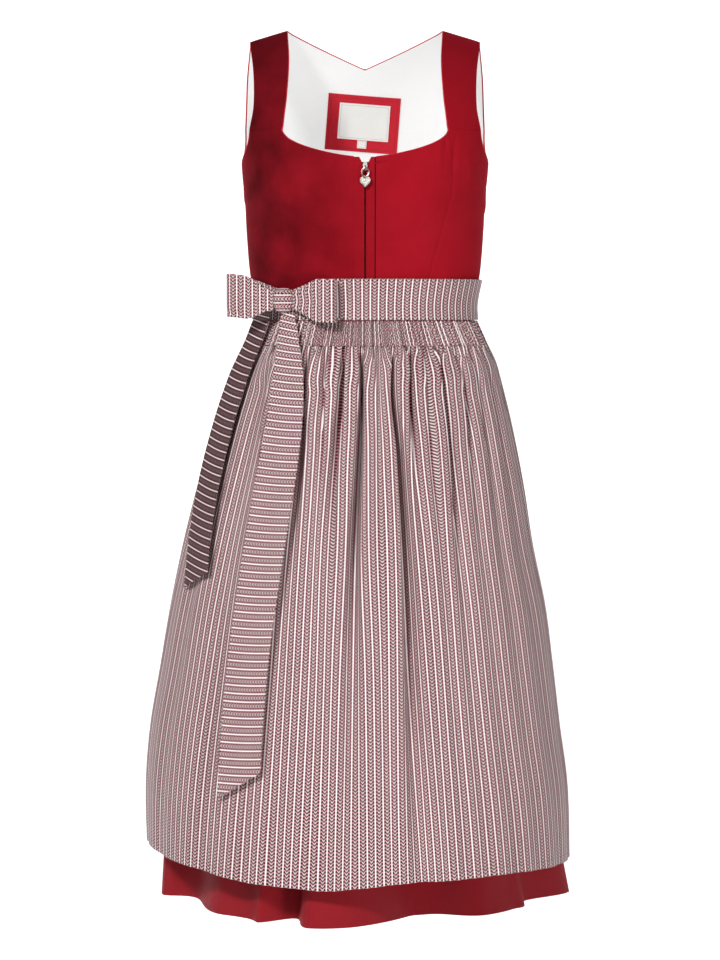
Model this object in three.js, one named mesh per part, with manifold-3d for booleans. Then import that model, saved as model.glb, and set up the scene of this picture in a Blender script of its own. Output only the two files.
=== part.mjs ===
// A dirndl with its apron, filled out as it is worn, with no wearer in it.
// Millimetres, +Z up, the front faces -Y, and the wearer's left is +X.
// The origin lies midway between the shoulder straps, at the height of their tops, where shoulders carry the dress.
import * as THREE from 'three';
import Module from 'manifold-3d';

const wasm = await Module();
wasm.setup();

// Heights below the strap tops, from which the other sizes are worked out.
const WAIST_SEAM = -339;
const BAND_TOP = -308;
const BAND_BOTTOM = -360;
const SMOCKING_BOTTOM = -391;
const APRON_HEM_SIDE = -1033;
const APRON_HEM_FRONT = -1046;
const SKIRT_HEM = -1092;

// Cloth. Layers are counted outwards from the inside face of the lining.
const SEAM_GAP = 0.3;
const LINING = 1;
const SHELL_INSIDE = 1.7;
const SHELL_OUTSIDE = 3.2;
const BAND_INSIDE = 4.2;
const BAND_OUTSIDE = 5.4;
const TIE_INSIDE = 6.4;
const TIE_OUTSIDE = 7.6;
const SKIRT_CLOTH = 1.2;
const APRON_CLOTH = 1.1;

// Shoulders, straps and front edge.
const NECK_POINT = 97;
const STRAP_END = 143;
const SHOULDER_SLOPE = 0.3;
const FRONT_REACH = 150;
const BACK_REACH = 125;
const SHOULDER_ROUND = 1.7;
const TOP_CURVE = 60;
const SHOULDER_SEAM_START = 0.5;
const ARMHOLE_BOTTOM = -163;
const STRAP_SEAM_INNER = -127;
const STRAP_SEAM_OUTER = -126;
const BACK_NECK_DEPTH = -41;
const BACK_SEAM_SHARE = 0.56;
const PLACKET_WIDTH = 12.5;
const LINING_EDGE = 6.6;
const ZIP_HALF_WIDTH = 5;

// Fullness sewn into the front panels by the curved seams.
const CUP = { across: 78, height: -205, depth: 9, spreadAcross: 44, spreadHeight: 46 };

const RIGHT_ANGLE = Math.PI / 2;
const radians = (degrees) => (degrees * Math.PI) / 180;
const mix = (a, b, share) => a + (b - a) * share;
const clamp = (value, low, high) => Math.min(high, Math.max(low, value));
const smooth = (share) => {
  const s = clamp(share, 0, 1);
  return s * s * (3 - 2 * s);
};
const steps = (count) => Array.from({ length: count + 1 }, (_, i) => i / count);

// A table with named columns: rows of numbers become one list for each column.
function table(columns, rows) {
  return Object.fromEntries(columns.map((name, i) => [name, rows.map((row) => row[i])]));
}

// A smooth curve through one column of a table, read at a value of its first column.
function read(source, key, name, at) {
  const x = source[key];
  const y = source[name];
  const last = x.length - 1;
  const rising = x[last] > x[0] ? 1 : -1;
  let i = 0;
  while (i < last - 1 && (at - x[i + 1]) * rising > 0) i += 1;
  const slope = (k) => {
    const low = Math.max(0, k - 1);
    const high = Math.min(last, k + 1);
    return (y[high] - y[low]) / (x[high] - x[low]);
  };
  const width = x[i + 1] - x[i];
  const t = clamp((at - x[i]) / width, 0, 1);
  const keep = (1 + 2 * t) * (1 - t) ** 2 * y[i] + t * t * (3 - 2 * t) * y[i + 1];
  return keep + width * (t * (1 - t) ** 2 * slope(i) - t * t * (1 - t) * slope(i + 1));
}

// Horizontal sections of the bodice's inside, down to the bottom of the waistband.
const FIGURE = table(['z', 'half', 'front', 'back', 'square'], [
  [0, 156, 96, 84, 2.6],
  [-60, 156, 98, 90, 2.6],
  [-110, 155, 106, 93, 2.5],
  [-150, 153, 115, 93, 2.4],
  [-180, 151, 117, 91, 2.35],
  [-210, 148, 116, 88, 2.3],
  [-250, 146, 107, 83, 2.25],
  [-300, 142, 96, 77, 2.2],
  [-339, 135, 90, 73, 2.2],
  [-366, 136, 91, 74, 2.2],
]);

// The seam that curves over the bust, from the corner of the neckline to the waist.
const FRONT_SEAM = table(['z', 'x'], [
  [-125, 101],
  [-140, 104],
  [-170, 106],
  [-200, 105],
  [-233, 97],
  [-264, 89],
  [-300, 80],
  [-339, 72],
]);

// The back's curved seam, from the shoulder's neck point to the waist.
const BACK_SEAM = table(['z', 'x'], [
  [0, 97],
  [-60, 98],
  [-120, 92],
  [-200, 72],
  [-339, 52],
]);

// The front neckline, from the front edge to the foot of the strap.
const NECKLINE = table(['x', 'z'], [
  [0, -162],
  [12.5, -161],
  [31, -158.5],
  [55, -153],
  [74, -146.5],
  [88, -139.5],
  [96, -133],
  [100.5, -127],
]);

// The edges of the strap, by how far they lie below the shoulder line.
const STRAP = table(['drop', 'inner', 'outer'], [
  [0, 97, 143],
  [40, 94, 137],
  [85, 96, 136],
  [112, 99, 141],
  [128, 100.5, 143.5],
]);

// Where the back's armhole edge lies across the body.
const BACK_ARMHOLE = table(['z', 'x'], [
  [-14, 143],
  [-54, 147],
  [-92, 148.5],
  [-120, 149.5],
]);

// Sections through the skirt's outermost cloth. Left and right are the wearer's.
const SKIRT = table(['z', 'left', 'right', 'front', 'back'], [
  [-339, 137.3, 137.3, 92.3, 75.3],
  [-360, 137.6, 137.6, 92.6, 76],
  [-391, 147, 146, 94, 88],
  [-434, 161, 166, 99, 106],
  [-491, 174, 186, 112, 126],
  [-567, 188, 201, 128, 146],
  [-643, 198, 214, 142, 161],
  [-720, 209, 226, 153, 174],
  [-796, 220, 237, 166, 184],
  [-872, 230, 247, 178, 193],
  [-948, 240, 252, 191, 201],
  [-1024, 250, 256, 203, 207],
  [-1092, 263, 260, 213, 212],
]);

// Sections through the apron's outermost cloth, from the waistband to its hem.
const APRON = table(['z', 'left', 'right', 'front'], [
  [-360, 142, 142, 97],
  [-391, 156, 153, 109],
  [-410, 165, 162, 118],
  [-434, 172, 171, 127],
  [-491, 186, 190, 142],
  [-567, 201, 212, 158],
  [-643, 213, 231, 173],
  [-720, 229, 247, 187],
  [-796, 239, 260, 199],
  [-872, 248, 273, 210],
  [-948, 258, 279, 221],
  [-1046, 261, 277, 235],
]);
const RING_SQUARE = 2.2;

// The skirt's folds, by angle round the body from the front. Each is a valley with its half width in degrees
// and its depth at the waist, halfway and at the hem; lean is how far its floor is pushed round, in degrees.
// A row with no depth is a seam.
const SKIRT_FOLDS = table(['top', 'bottom', 'half', 'waist', 'middle', 'hem', 'lean'], [
  [-180, -180, 0.4, 0, 0, 0, 0],
  [-166, -167, 6.5, 1.2, 16, 30, 2],
  [-151, -151, 6, 1.2, 18, 26, -2],
  [-136, -135, 7, 1.2, 14, 34, 2],
  [-121, -121, 6, 1.2, 17, 24, 1],
  [-106, -107, 6, 1.2, 12, 30, -2],
  [-92, -92, 0.4, 0, 0, 0, 0],
  [-73, -75, 13, 1.2, 8, 52, -3],
  [-45, -39, 4, 1.2, 5, 6, 0],
  [-28, -26, 5.5, 1.2, 8, 54, 3.5],
  [-8, -6, 6, 1.2, 5, 6, 0],
  [14, 16, 6.5, 1.2, 8, 38, 3],
  [32, 36, 6, 1.2, 5, 7, 0],
  [52, 54, 4, 1.2, 6, 9, 0],
  [72, 75, 13, 1.2, 8, 52, 3],
  [92, 92, 0.4, 0, 0, 0, 0],
  [106, 108, 6.5, 1.2, 15, 32, 2],
  [121, 122, 6, 1.2, 18, 25, -1],
  [136, 136, 6.5, 1.2, 13, 33, -2],
  [151, 150, 6, 1.2, 17, 27, 2],
  [166, 166, 6.5, 1.2, 15, 31, -2],
  [180, 180, 0.4, 0, 0, 0, 0],
]);

// The apron's folds, with its two side edges as the first and last rows.
const APRON_FOLDS = table(['top', 'bottom', 'half', 'waist', 'middle', 'hem', 'lean'], [
  [-80, -90, 0.4, 0, 0, 0, 0],
  [-74, -81, 3.5, 3, 6, 5, 0],
  [-64, -68, 5, 3.5, 9, 6, 0.5],
  [-54, -50, 6, 3.5, 13, 9, 1],
  [-43, -38, 4.5, 3.5, 9, 4, 0],
  [-33, -28, 4.5, 3.5, 10, 5, 0],
  [-23, -19, 4, 3.5, 7, 3, 0],
  [-13, -13, 3.6, 3.5, 8, 3, 0],
  [-2.5, -4.6, 5, 3.5, 17, 7, 0.5],
  [8, 7, 3.6, 3.5, 6, 3, 0],
  [16.5, 16.3, 5.4, 3.5, 25, 13, -0.5],
  [26, 24, 3.6, 3.5, 7, 3, 0],
  [35, 32, 4, 3.5, 8, 4, 0],
  [44, 40, 4.5, 3.5, 13, 5, 0.5],
  [52, 51, 4, 3.5, 8, 6, 0],
  [61, 62, 4.5, 3.5, 8, 5, 0],
  [70, 72, 4.5, 3.5, 7, 6, 0],
  [79, 82, 4, 3.5, 6, 4, 0],
  [91, 92, 0.4, 0, 0, 0, 0],
]);
const FOLD_ONSET = 0.09;
const FOLD_MIDDLE = 0.34;
const CORNER_LIFT = 11;
const CORNER_REACH = 3;

const SMOCKING = { start: -80, end: 91, gathers: 44, depth: 1.8 };

// Height of the shoulder line above or below the origin, across the body.
const shoulder = (x) => SHOULDER_SLOPE * (NECK_POINT - Math.abs(x));

// Drop below the shoulder line for a length s of cloth: it starts level and soon runs straight down.
const dropOf = (s) => (s * s) / (s + TOP_CURVE);
const lengthOf = (drop) => (drop + Math.sqrt(drop * drop + 4 * drop * TOP_CURVE)) / 2;

// Half of the seam gap at the sides, as an angle.
const sideSeamGap = SEAM_GAP / 2 / FIGURE.half[0];

// A point inside the bodice: a rounded-square ring round the body, drawn in over the shoulders.
function figure(angle, z) {
  const facing = Math.cos(angle) > 0;
  const square = read(FIGURE, 'z', 'square', z);
  const across = Math.abs(Math.sin(angle)) / read(FIGURE, 'z', 'half', z);
  const along = Math.abs(Math.cos(angle)) / read(FIGURE, 'z', facing ? 'front' : 'back', z);
  const radius = (across ** square + along ** square) ** (-1 / square);
  const x = radius * Math.sin(angle);
  let y = -radius * Math.cos(angle);
  if (facing) {
    const aside = (Math.abs(x) - CUP.across) / CUP.spreadAcross;
    const above = (z - CUP.height) / CUP.spreadHeight;
    y -= CUP.depth * Math.exp(-aside * aside - above * above);
  }
  const below = clamp((shoulder(x) - z) / (facing ? FRONT_REACH : BACK_REACH), 0, 1);
  const drawn = (1 - (1 - below) ** SHOULDER_ROUND) ** (1 / SHOULDER_ROUND);
  return new THREE.Vector3(x, y * drawn, z);
}

// The angle round the body at which the ring at that height is x across, on the front or the back.
function angleAt(x, z, onBack = false) {
  const square = read(FIGURE, 'z', 'square', z);
  const share = clamp(Math.abs(x) / read(FIGURE, 'z', 'half', z), 0, 0.9999);
  const depth = read(FIGURE, 'z', onBack ? 'back' : 'front', z) * (1 - share ** square) ** (1 / square);
  const angle = Math.atan2(Math.abs(x), depth);
  return onBack ? Math.PI - angle : angle;
}

// A cloth wall on a surface: its points are moved along the surface's normal to both faces, and the rim is closed.
function wall(surface, us, vs, inside, outside) {
  const reach = 1e-3;
  const faces = [[], []];
  for (const v of vs) {
    for (const u of us) {
      const point = surface(u, v);
      const along = surface(Math.min(1, u + reach), v).sub(surface(Math.max(0, u - reach), v));
      const up = surface(u, Math.min(1, v + reach)).sub(surface(u, Math.max(0, v - reach)));
      const normal = along.cross(up).normalize();
      faces[0].push(point.clone().addScaledVector(normal, outside));
      faces[1].push(point.clone().addScaledVector(normal, inside));
    }
  }
  const columns = us.length;
  const rows = vs.length;
  const inner = columns * rows;
  const index = [];
  const quad = (a, b, c, d) => index.push(a, b, c, a, c, d);
  for (let j = 0; j < rows - 1; j += 1) {
    for (let i = 0; i < columns - 1; i += 1) {
      const a = j * columns + i;
      quad(a, a + 1, a + columns + 1, a + columns);
      quad(inner + a, inner + a + columns, inner + a + columns + 1, inner + a + 1);
    }
  }
  const close = (a, b) => quad(b, a, inner + a, inner + b);
  for (let i = 0; i < columns - 1; i += 1) {
    close(i, i + 1);
    close((rows - 1) * columns + i + 1, (rows - 1) * columns + i);
  }
  for (let j = 0; j < rows - 1; j += 1) {
    close(j * columns + columns - 1, (j + 2) * columns - 1);
    close((j + 1) * columns, j * columns);
  }
  return geometryOf(faces.flat(), index);
}

function geometryOf(points, index) {
  const geometry = new THREE.BufferGeometry().setFromPoints(points);
  geometry.setIndex(index);
  geometry.computeVertexNormals();
  return geometry;
}

// The same piece for the other side of the body.
const mirrored = (surface) => (u, v) => {
  const point = surface(1 - u, v);
  point.x = -point.x;
  return point;
};

// Bodice. Every panel runs from the waist seam up to its own top edge, and its sides follow the seams.
const panelHeight = (top, v) => mix(WAIST_SEAM + SEAM_GAP, top, v);
const strapSeam = (u) => mix(STRAP_SEAM_INNER, STRAP_SEAM_OUTER, u);

function frontPanel(edge) {
  return (u, v) => {
    const z = panelHeight(read(NECKLINE, 'x', 'z', mix(edge, NECKLINE.x.at(-1), u)) - SEAM_GAP, v);
    const x = mix(edge, read(FRONT_SEAM, 'z', 'x', z) - SEAM_GAP / 2, u);
    return figure(angleAt(x, z), z);
  };
}

// The armhole's front curve: upright under the strap, level at the side seam.
function frontArmhole(z) {
  const strapFoot = angleAt(STRAP.outer.at(-1), STRAP_SEAM_OUTER);
  const share = clamp((STRAP_SEAM_OUTER - z) / (STRAP_SEAM_OUTER - ARMHOLE_BOTTOM), 0, 1);
  return mix(strapFoot, RIGHT_ANGLE, 1 - Math.sqrt(1 - share * share));
}

function backArmhole(z) {
  const start = BACK_ARMHOLE.z.at(-1);
  if (z > start) return angleAt(read(BACK_ARMHOLE, 'z', 'x', z), z, true);
  const share = clamp((start - z) / (start - ARMHOLE_BOTTOM), 0, 1);
  return mix(angleAt(BACK_ARMHOLE.x.at(-1), start, true), RIGHT_ANGLE, 1 - Math.sqrt(1 - share * share));
}

function sidePanel(u, v) {
  const z = panelHeight(strapSeam(u) - SEAM_GAP, v);
  const inner = angleAt(read(FRONT_SEAM, 'z', 'x', z) + SEAM_GAP / 2, z);
  return figure(mix(inner, frontArmhole(z) - sideSeamGap, u), z);
}

function strap(u, v) {
  const foot = shoulder(mix(STRAP.inner.at(-1), STRAP.outer.at(-1), u)) - strapSeam(u);
  const drop = dropOf(mix(lengthOf(foot), SHOULDER_SEAM_START, v));
  const x = mix(read(STRAP, 'drop', 'inner', drop), read(STRAP, 'drop', 'outer', drop), u);
  const z = shoulder(x) - drop;
  return figure(angleAt(x, z), z);
}

// Half of the back, from the side seam or armhole, u = 0, to the centre back, u = 1.
// Columns end at the shoulder seam as far as the curved seam, and on the V of the back neck beyond it.
function backAngle(u, z) {
  const seam = angleAt(read(BACK_SEAM, 'z', 'x', z), z, true);
  const side = 1 - BACK_SEAM_SHARE;
  return u < side ? mix(backArmhole(z) + sideSeamGap, seam, u / side) : mix(seam, Math.PI, (u - side) / (1 - side));
}

function halfBack(u, v) {
  let x = mix(STRAP_END, 0, u);
  for (let pass = 0; pass < 4; pass += 1) x = figure(backAngle(u, shoulder(x)), shoulder(x)).x;
  const neck = shoulder(x) - mix(BACK_NECK_DEPTH, 0, Math.min(1, x / NECK_POINT));
  const top = x < NECK_POINT ? lengthOf(Math.max(0, neck)) : 0;
  const base = shoulder(x);
  const length = mix(lengthOf(base - WAIST_SEAM - SEAM_GAP), Math.max(top, SHOULDER_SEAM_START), v);
  const z = base - dropOf(length);
  return figure(backAngle(u, z), z);
}

// The gap at the curved back seam, as a share of half the back.
const seamShare = 0.004;
const backSide = (u, v) => halfBack(u * (1 - BACK_SEAM_SHARE - seamShare), v);
const backCentre = (u, v) => {
  const fromCentre = Math.abs(2 * u - 1) * (BACK_SEAM_SHARE - seamShare);
  const point = halfBack(1 - fromCentre, v);
  if (u > 0.5) point.x = -point.x;
  return point;
};
const wholeBack = (u, v) => {
  const point = halfBack(1 - Math.abs(2 * u - 1), v);
  if (u > 0.5) point.x = -point.x;
  return point;
};

// The placket beside the zip, with its top corner rounded away from the slider.
const PLACKET_EDGE = 1.1;
const PLACKET_CORNER = { height: 24, width: 8 };
function placket(u, v) {
  const top = NECKLINE.z[1] - SEAM_GAP;
  const z = panelHeight(top, v);
  const rounded = clamp(1 - (top - z) / PLACKET_CORNER.height, 0, 1);
  const edge = PLACKET_EDGE + PLACKET_CORNER.width * rounded ** 2.2;
  return figure(angleAt(mix(edge, PLACKET_WIDTH - SEAM_GAP, u), z), z);
}

const ZIP_TOP = -167;
function zipChain(u, v) {
  const x = mix(-ZIP_HALF_WIDTH, ZIP_HALF_WIDTH, u);
  const z = mix(WAIST_SEAM + SEAM_GAP, ZIP_TOP, v);
  return figure(Math.sign(x) * angleAt(x, z), z);
}

// The lining of one front: the front and side panels as one piece, from the zip to the side seam.
// The front panel has six of the lining's eleven columns.
const liningFrontSplit = 6 / 11;
function liningFront(u, v) {
  if (u < liningFrontSplit) return frontPanel(LINING_EDGE)(u / liningFrontSplit, v);
  return sidePanel((u - liningFrontSplit) / (1 - liningFrontSplit), v);
}

// Patch and labels inside the back. The patch is turned a little, as it hangs.
const PATCH = { centre: 0, top: -71.5, width: 94, height: 72.5, turn: radians(-4.4), layer: -1.6, thickness: 1 };
const LABEL = { centre: 0.5, top: -82, width: 66, height: 46.8, turn: radians(-4.4), layer: -3.4, thickness: 1 };
const TAG = { centre: -3.6, top: -129.1, width: 12, height: 10.2, turn: radians(-4.4), layer: -3.4, thickness: 1 };
function onBackLining(piece) {
  return (u, v) => {
    const side = (0.5 - u) * piece.width;
    const rise = (v - 1) * piece.height;
    const x = piece.centre + side * Math.cos(piece.turn) - rise * Math.sin(piece.turn);
    const z = piece.top + side * Math.sin(piece.turn) + rise * Math.cos(piece.turn);
    const angle = angleAt(x, z, true);
    const point = figure(angle, z);
    if (x < 0) point.x = -point.x;
    return point;
  };
}

// Waistband across the front, and the tie that goes once round the body from the knot and back to it.
const KNOT_ANGLE = -54;
const BAND_SIDE = 96;
const TIE_CLEAR = 9;
const TIE_TAPER = 34;
const TIE_PINCH = 0.46;

function waistband(u, v) {
  return figure(radians(mix(-BAND_SIDE, BAND_SIDE, u)), mix(BAND_BOTTOM, BAND_TOP, v));
}

function tie(u, v) {
  const start = KNOT_ANGLE + TIE_CLEAR;
  const end = KNOT_ANGLE + 360 - TIE_CLEAR;
  const angle = mix(start, end, u);
  const nearest = Math.min(angle - start, end - angle);
  const height = (BAND_TOP - BAND_BOTTOM) * mix(TIE_PINCH, 1, smooth(nearest / TIE_TAPER));
  const middle = (BAND_TOP + BAND_BOTTOM) / 2;
  return figure(radians(angle), middle + (v - 0.5) * height);
}

// Folds of the skirt and the apron.
const bell = (share) => (Math.abs(share) < 1 ? Math.cos((Math.PI * share) / 2) ** 2 : 0);

// A fold's depth at a share of the way down: it sets in below the gathers, and is deepest about a third down.
function foldDepth(folds, i, share) {
  const onset = smooth(share / FOLD_ONSET);
  const below = smooth((share - FOLD_MIDDLE) / (1 - FOLD_MIDDLE));
  const body = share < FOLD_MIDDLE
    ? mix(folds.middle[i] * 0.8, folds.middle[i], share / FOLD_MIDDLE)
    : mix(folds.middle[i], folds.hem[i], below);
  return mix(folds.waist[i], body, onset);
}

// The angle of a column: whole numbers are the floors of the folds, and the stretches between are in fifths.
function columnAngle(folds, column, share) {
  const last = folds.top.length - 1;
  const i = clamp(Math.floor(column), 0, last - 1);
  const centre = (k) => mix(folds.top[k], folds.bottom[k], share);
  const marks = [
    centre(i),
    centre(i) + folds.half[i] / 2,
    centre(i) + folds.half[i],
    centre(i + 1) - folds.half[i + 1],
    centre(i + 1) - folds.half[i + 1] / 2,
    centre(i + 1),
  ];
  const place = (column - i) * 5;
  const k = clamp(Math.floor(place), 0, 4);
  return mix(marks[k], marks[k + 1], place - k);
}

function ringRadius(sections, z, angle) {
  const side = Math.sin(angle) > 0 ? 'left' : 'right';
  const depth = Math.cos(angle) > 0 || !sections.back ? 'front' : 'back';
  const across = Math.abs(Math.sin(angle)) / read(sections, 'z', side, z);
  const along = Math.abs(Math.cos(angle)) / read(sections, 'z', depth, z);
  return (across ** RING_SQUARE + along ** RING_SQUARE) ** (-1 / RING_SQUARE);
}

// A point of folded cloth: the ring at that height, pressed in and pushed round by each fold near it.
function foldedPoint(sections, folds, column, share, z) {
  const degrees = columnAngle(folds, column, share);
  let depth = 0;
  let lean = 0;
  folds.top.forEach((_, i) => {
    const centre = mix(folds.top[i], folds.bottom[i], share);
    const pressed = bell((degrees - centre) / folds.half[i]);
    depth += pressed * foldDepth(folds, i, share);
    lean += pressed * folds.lean[i] * share;
  });
  const radius = ringRadius(sections, z, radians(degrees)) - depth;
  const angle = radians(degrees + lean);
  return new THREE.Vector3(radius * Math.sin(angle), -radius * Math.cos(angle), z);
}

function skirtPanel(first, last) {
  return (u, v) => {
    const share = 1 - v;
    const z = mix(WAIST_SEAM - SEAM_GAP, SKIRT_HEM, share);
    const inset = 0.02;
    return foldedPoint(SKIRT, SKIRT_FOLDS, mix(first + inset, last - inset, u), share, z);
  };
}

const apronTop = SMOCKING_BOTTOM - SEAM_GAP;
function apron(u, v) {
  const share = 1 - v;
  const column = u * (APRON_FOLDS.top.length - 1);
  const degrees = columnAngle(APRON_FOLDS, column, 1);
  const toSide = Math.abs(Math.sin(radians(degrees)));
  const toEdge = Math.min(degrees - APRON_FOLDS.bottom[0], APRON_FOLDS.bottom.at(-1) - degrees);
  const corner = CORNER_LIFT * (1 - smooth(toEdge / CORNER_REACH));
  const hem = mix(APRON_HEM_FRONT, APRON_HEM_SIDE, toSide ** 2) + corner;
  return foldedPoint(APRON, APRON_FOLDS, column, share, mix(apronTop, hem, share));
}

// The smocked heading: fine even gathers that widen into the folds below.
const SMOCKING_TOP = BAND_BOTTOM - 0.6;
function smocking(u, v) {
  const z = mix(SMOCKING_BOTTOM + SEAM_GAP, SMOCKING_TOP, v);
  const angle = radians(mix(SMOCKING.start, SMOCKING.end, u));
  const gather = (1 - Math.cos(2 * Math.PI * SMOCKING.gathers * u)) / 2;
  const radius = ringRadius(APRON, z, angle) - SMOCKING.depth * gather;
  return new THREE.Vector3(radius * Math.sin(angle), -radius * Math.cos(angle), z);
}

// Bow: the knot lies on the tie; its loops spread to both sides and its ends hang down over the apron.
const KNOT = { x: -101, y: -87, z: -335, width: 25, depth: 22, height: 30, roundness: 0.7 };
const LOOP = { length: 58, belly: 11, rest: 3.5, swell: 0.86, neck: 24, tall: 53 };
const LOOP_TURNS = { left: -25, right: 7 };

// The knot: a ball pressed into a rounded pad.
function knotGeometry() {
  const geometry = new THREE.SphereGeometry(0.5, 20, 12);
  const place = geometry.attributes.position;
  const pressed = (value) => Math.sign(value) * 0.5 * Math.abs(2 * value) ** KNOT.roundness;
  for (let i = 0; i < place.count; i += 1) {
    const x = pressed(place.getX(i)) * KNOT.width;
    const y = pressed(place.getY(i)) * KNOT.depth;
    const z = pressed(place.getZ(i)) * KNOT.height;
    place.setXYZ(i, x, y, z);
  }
  return solidGeometry(manifoldOf(geometry).translate([KNOT.x, KNOT.y, KNOT.z]));
}

// A loop of the bow: the band runs out behind, turns at the tip and comes back in front.
function bowLoop(toLeft, turn, rise) {
  const sign = toLeft ? 1 : -1;
  const heading = radians(turn);
  return (u, v) => {
    const back = 2 * u - 1;
    const out = LOOP.length * (1 - back * back);
    const bulge = (back > 0 ? LOOP.belly : LOOP.rest) * Math.sin(Math.PI * back * LOOP.swell);
    const tall = mix(LOOP.neck, LOOP.tall, smooth(out / (LOOP.length * 0.62)));
    const start = KNOT.x + sign * (KNOT.width / 2 + SEAM_GAP);
    const x = start + sign * out * Math.cos(heading);
    const y = KNOT.y + out * Math.sin(heading) - bulge;
    return new THREE.Vector3(x, y, KNOT.z + rise * smooth(out / LOOP.length) + (v - 0.5) * tall);
  };
}

// The hanging ends. Each row gives the middle of the end across the body, its width, how far it is turned
// from the front, and how far it stands off the apron.
const LONG_END = table(['z', 'x', 'width', 'turn', 'off'], [
  [-350.4, -95, 18, -24, 11],
  [-385, -94, 28, -22, 12],
  [-430, -94, 41, -20, 9],
  [-490, -99, 50, -20, 9],
  [-560, -110, 55, -20, 9],
  [-660, -126, 56, -20, 9],
  [-760, -140, 56, -20, 9],
  [-860, -149, 56, -20, 9],
  [-937, -153, 56, -20, 9],
]);
const SHORT_END = table(['z', 'x', 'width', 'turn', 'off'], [
  [-340, -119.4, 14, -30, 21.5],
  [-354, -127, 24, -40, 20],
  [-385, -138, 34, -50, 12],
  [-430, -157, 46, -55, 10],
  [-490, -176, 52, -57, 9],
  [-560, -193, 54, -57, 9],
  [-630, -204, 55, -57, 9],
  [-690, -209, 55, -57, 9],
]);

function hangingEnd(shape, slant) {
  const top = shape.z[0];
  return (u, v) => {
    const bottom = shape.z.at(-1) + slant * u;
    const z = mix(bottom, top, v);
    const turn = radians(read(shape, 'z', 'turn', z));
    const middle = read(shape, 'z', 'x', z);
    const half = read(APRON, 'z', 'right', z);
    const share = Math.min(0.97, Math.abs(middle) / half);
    const front = read(APRON, 'z', 'front', z) * (1 - share ** RING_SQUARE) ** (1 / RING_SQUARE);
    const aside = (u - 0.5) * read(shape, 'z', 'width', z);
    const y = -front - read(shape, 'z', 'off', z) + aside * Math.sin(turn);
    return new THREE.Vector3(middle + aside * Math.cos(turn), y, z);
  };
}

// Metal pull. The ring hangs in the slider's bridge, and the charm's eye hangs on the ring.
const PULL = {
  y: -126.6, bridgeZ: -174.5, ringHalf: 4.4, ringTall: 5.3, wire: 0.8, eyeRadius: 2.2, eyeWire: 0.7, play: 0.4,
};
const CHARM_Z = PULL.bridgeZ - 2 * PULL.ringTall;
const HEART = { width: 13.6, height: 13, cleft: 0.22, thickness: 2.2, bevel: 0.5 };
const SLIDER = { width: 5, height: 9.5, back: -120.9, front: -124, bottom: -177 };

function manifoldOf(geometry) {
  const source = geometry.index ? geometry.toNonIndexed() : geometry;
  const place = source.attributes.position;
  const found = new Map();
  const points = [];
  const index = [];
  for (let i = 0; i < place.count; i += 1) {
    const corner = [place.getX(i), place.getY(i), place.getZ(i)];
    const key = corner.map((value) => Math.round(value * 1e4)).join();
    if (!found.has(key)) {
      found.set(key, points.length / 3);
      points.push(...corner);
    }
    index.push(found.get(key));
  }
  const triangles = [];
  for (let i = 0; i < index.length; i += 3) {
    const [a, b, c] = index.slice(i, i + 3);
    if (a !== b && b !== c && c !== a) triangles.push(a, b, c);
  }
  return new wasm.Manifold(new wasm.Mesh({
    numProp: 3,
    vertProperties: new Float32Array(points),
    triVerts: new Uint32Array(triangles),
  }));
}

function solidGeometry(solid) {
  const mesh = solid.getMesh();
  const points = [];
  for (let i = 0; i < mesh.numVert; i += 1) {
    points.push(new THREE.Vector3(...mesh.vertProperties.slice(i * mesh.numProp, i * mesh.numProp + 3)));
  }
  return geometryOf(points, Array.from(mesh.triVerts));
}

function sliderGeometry() {
  const depth = SLIDER.back - SLIDER.front;
  const body = new THREE.BoxGeometry(SLIDER.width, depth, SLIDER.height);
  body.translate(0, (SLIDER.back + SLIDER.front) / 2, SLIDER.bottom + SLIDER.height / 2);
  const bridge = new THREE.TorusGeometry(PULL.eyeRadius + 0.2, PULL.eyeWire, 8, 20);
  bridge.rotateY(RIGHT_ANGLE);
  bridge.translate(0, PULL.y, PULL.bridgeZ + PULL.play);
  return solidGeometry(manifoldOf(body).add(manifoldOf(bridge)));
}

function ringGeometry() {
  const ring = new THREE.TorusGeometry(PULL.ringHalf, PULL.wire, 8, 24);
  ring.scale(1, PULL.ringTall / PULL.ringHalf, 1);
  ring.rotateX(RIGHT_ANGLE);
  ring.translate(0, PULL.y, PULL.bridgeZ - PULL.ringTall);
  return ring;
}

// A plain heart drawn with four curves from its cleft to its point.
function heartGeometry() {
  const w = HEART.width / 2;
  const h = HEART.height;
  const shape = new THREE.Shape();
  shape.moveTo(0, -HEART.cleft * h);
  shape.bezierCurveTo(0.1 * w, 0.06 * h, 0.95 * w, 0.1 * h, w, -0.26 * h);
  shape.bezierCurveTo(1.02 * w, -0.55 * h, 0.4 * w, -0.72 * h, 0, -h);
  shape.bezierCurveTo(-0.4 * w, -0.72 * h, -1.02 * w, -0.55 * h, -w, -0.26 * h);
  shape.bezierCurveTo(-0.95 * w, 0.1 * h, -0.1 * w, 0.06 * h, 0, -HEART.cleft * h);
  const plate = new THREE.ExtrudeGeometry(shape, {
    depth: HEART.thickness - 2 * HEART.bevel,
    bevelEnabled: true,
    bevelThickness: HEART.bevel,
    bevelSize: HEART.bevel,
    bevelOffset: -HEART.bevel,
    bevelSegments: 1,
    curveSegments: 7,
  });
  plate.translate(0, 0, -HEART.thickness / 2 + HEART.bevel);
  plate.rotateX(RIGHT_ANGLE);
  plate.translate(0, PULL.y, CHARM_Z - PULL.eyeRadius + HEART.cleft * h - 2 * HEART.bevel);
  const eye = new THREE.TorusGeometry(PULL.eyeRadius, PULL.eyeWire, 8, 18);
  eye.rotateY(RIGHT_ANGLE);
  eye.translate(0, PULL.y, CHARM_Z - PULL.play);
  return solidGeometry(manifoldOf(plate).add(manifoldOf(eye)));
}

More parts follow.
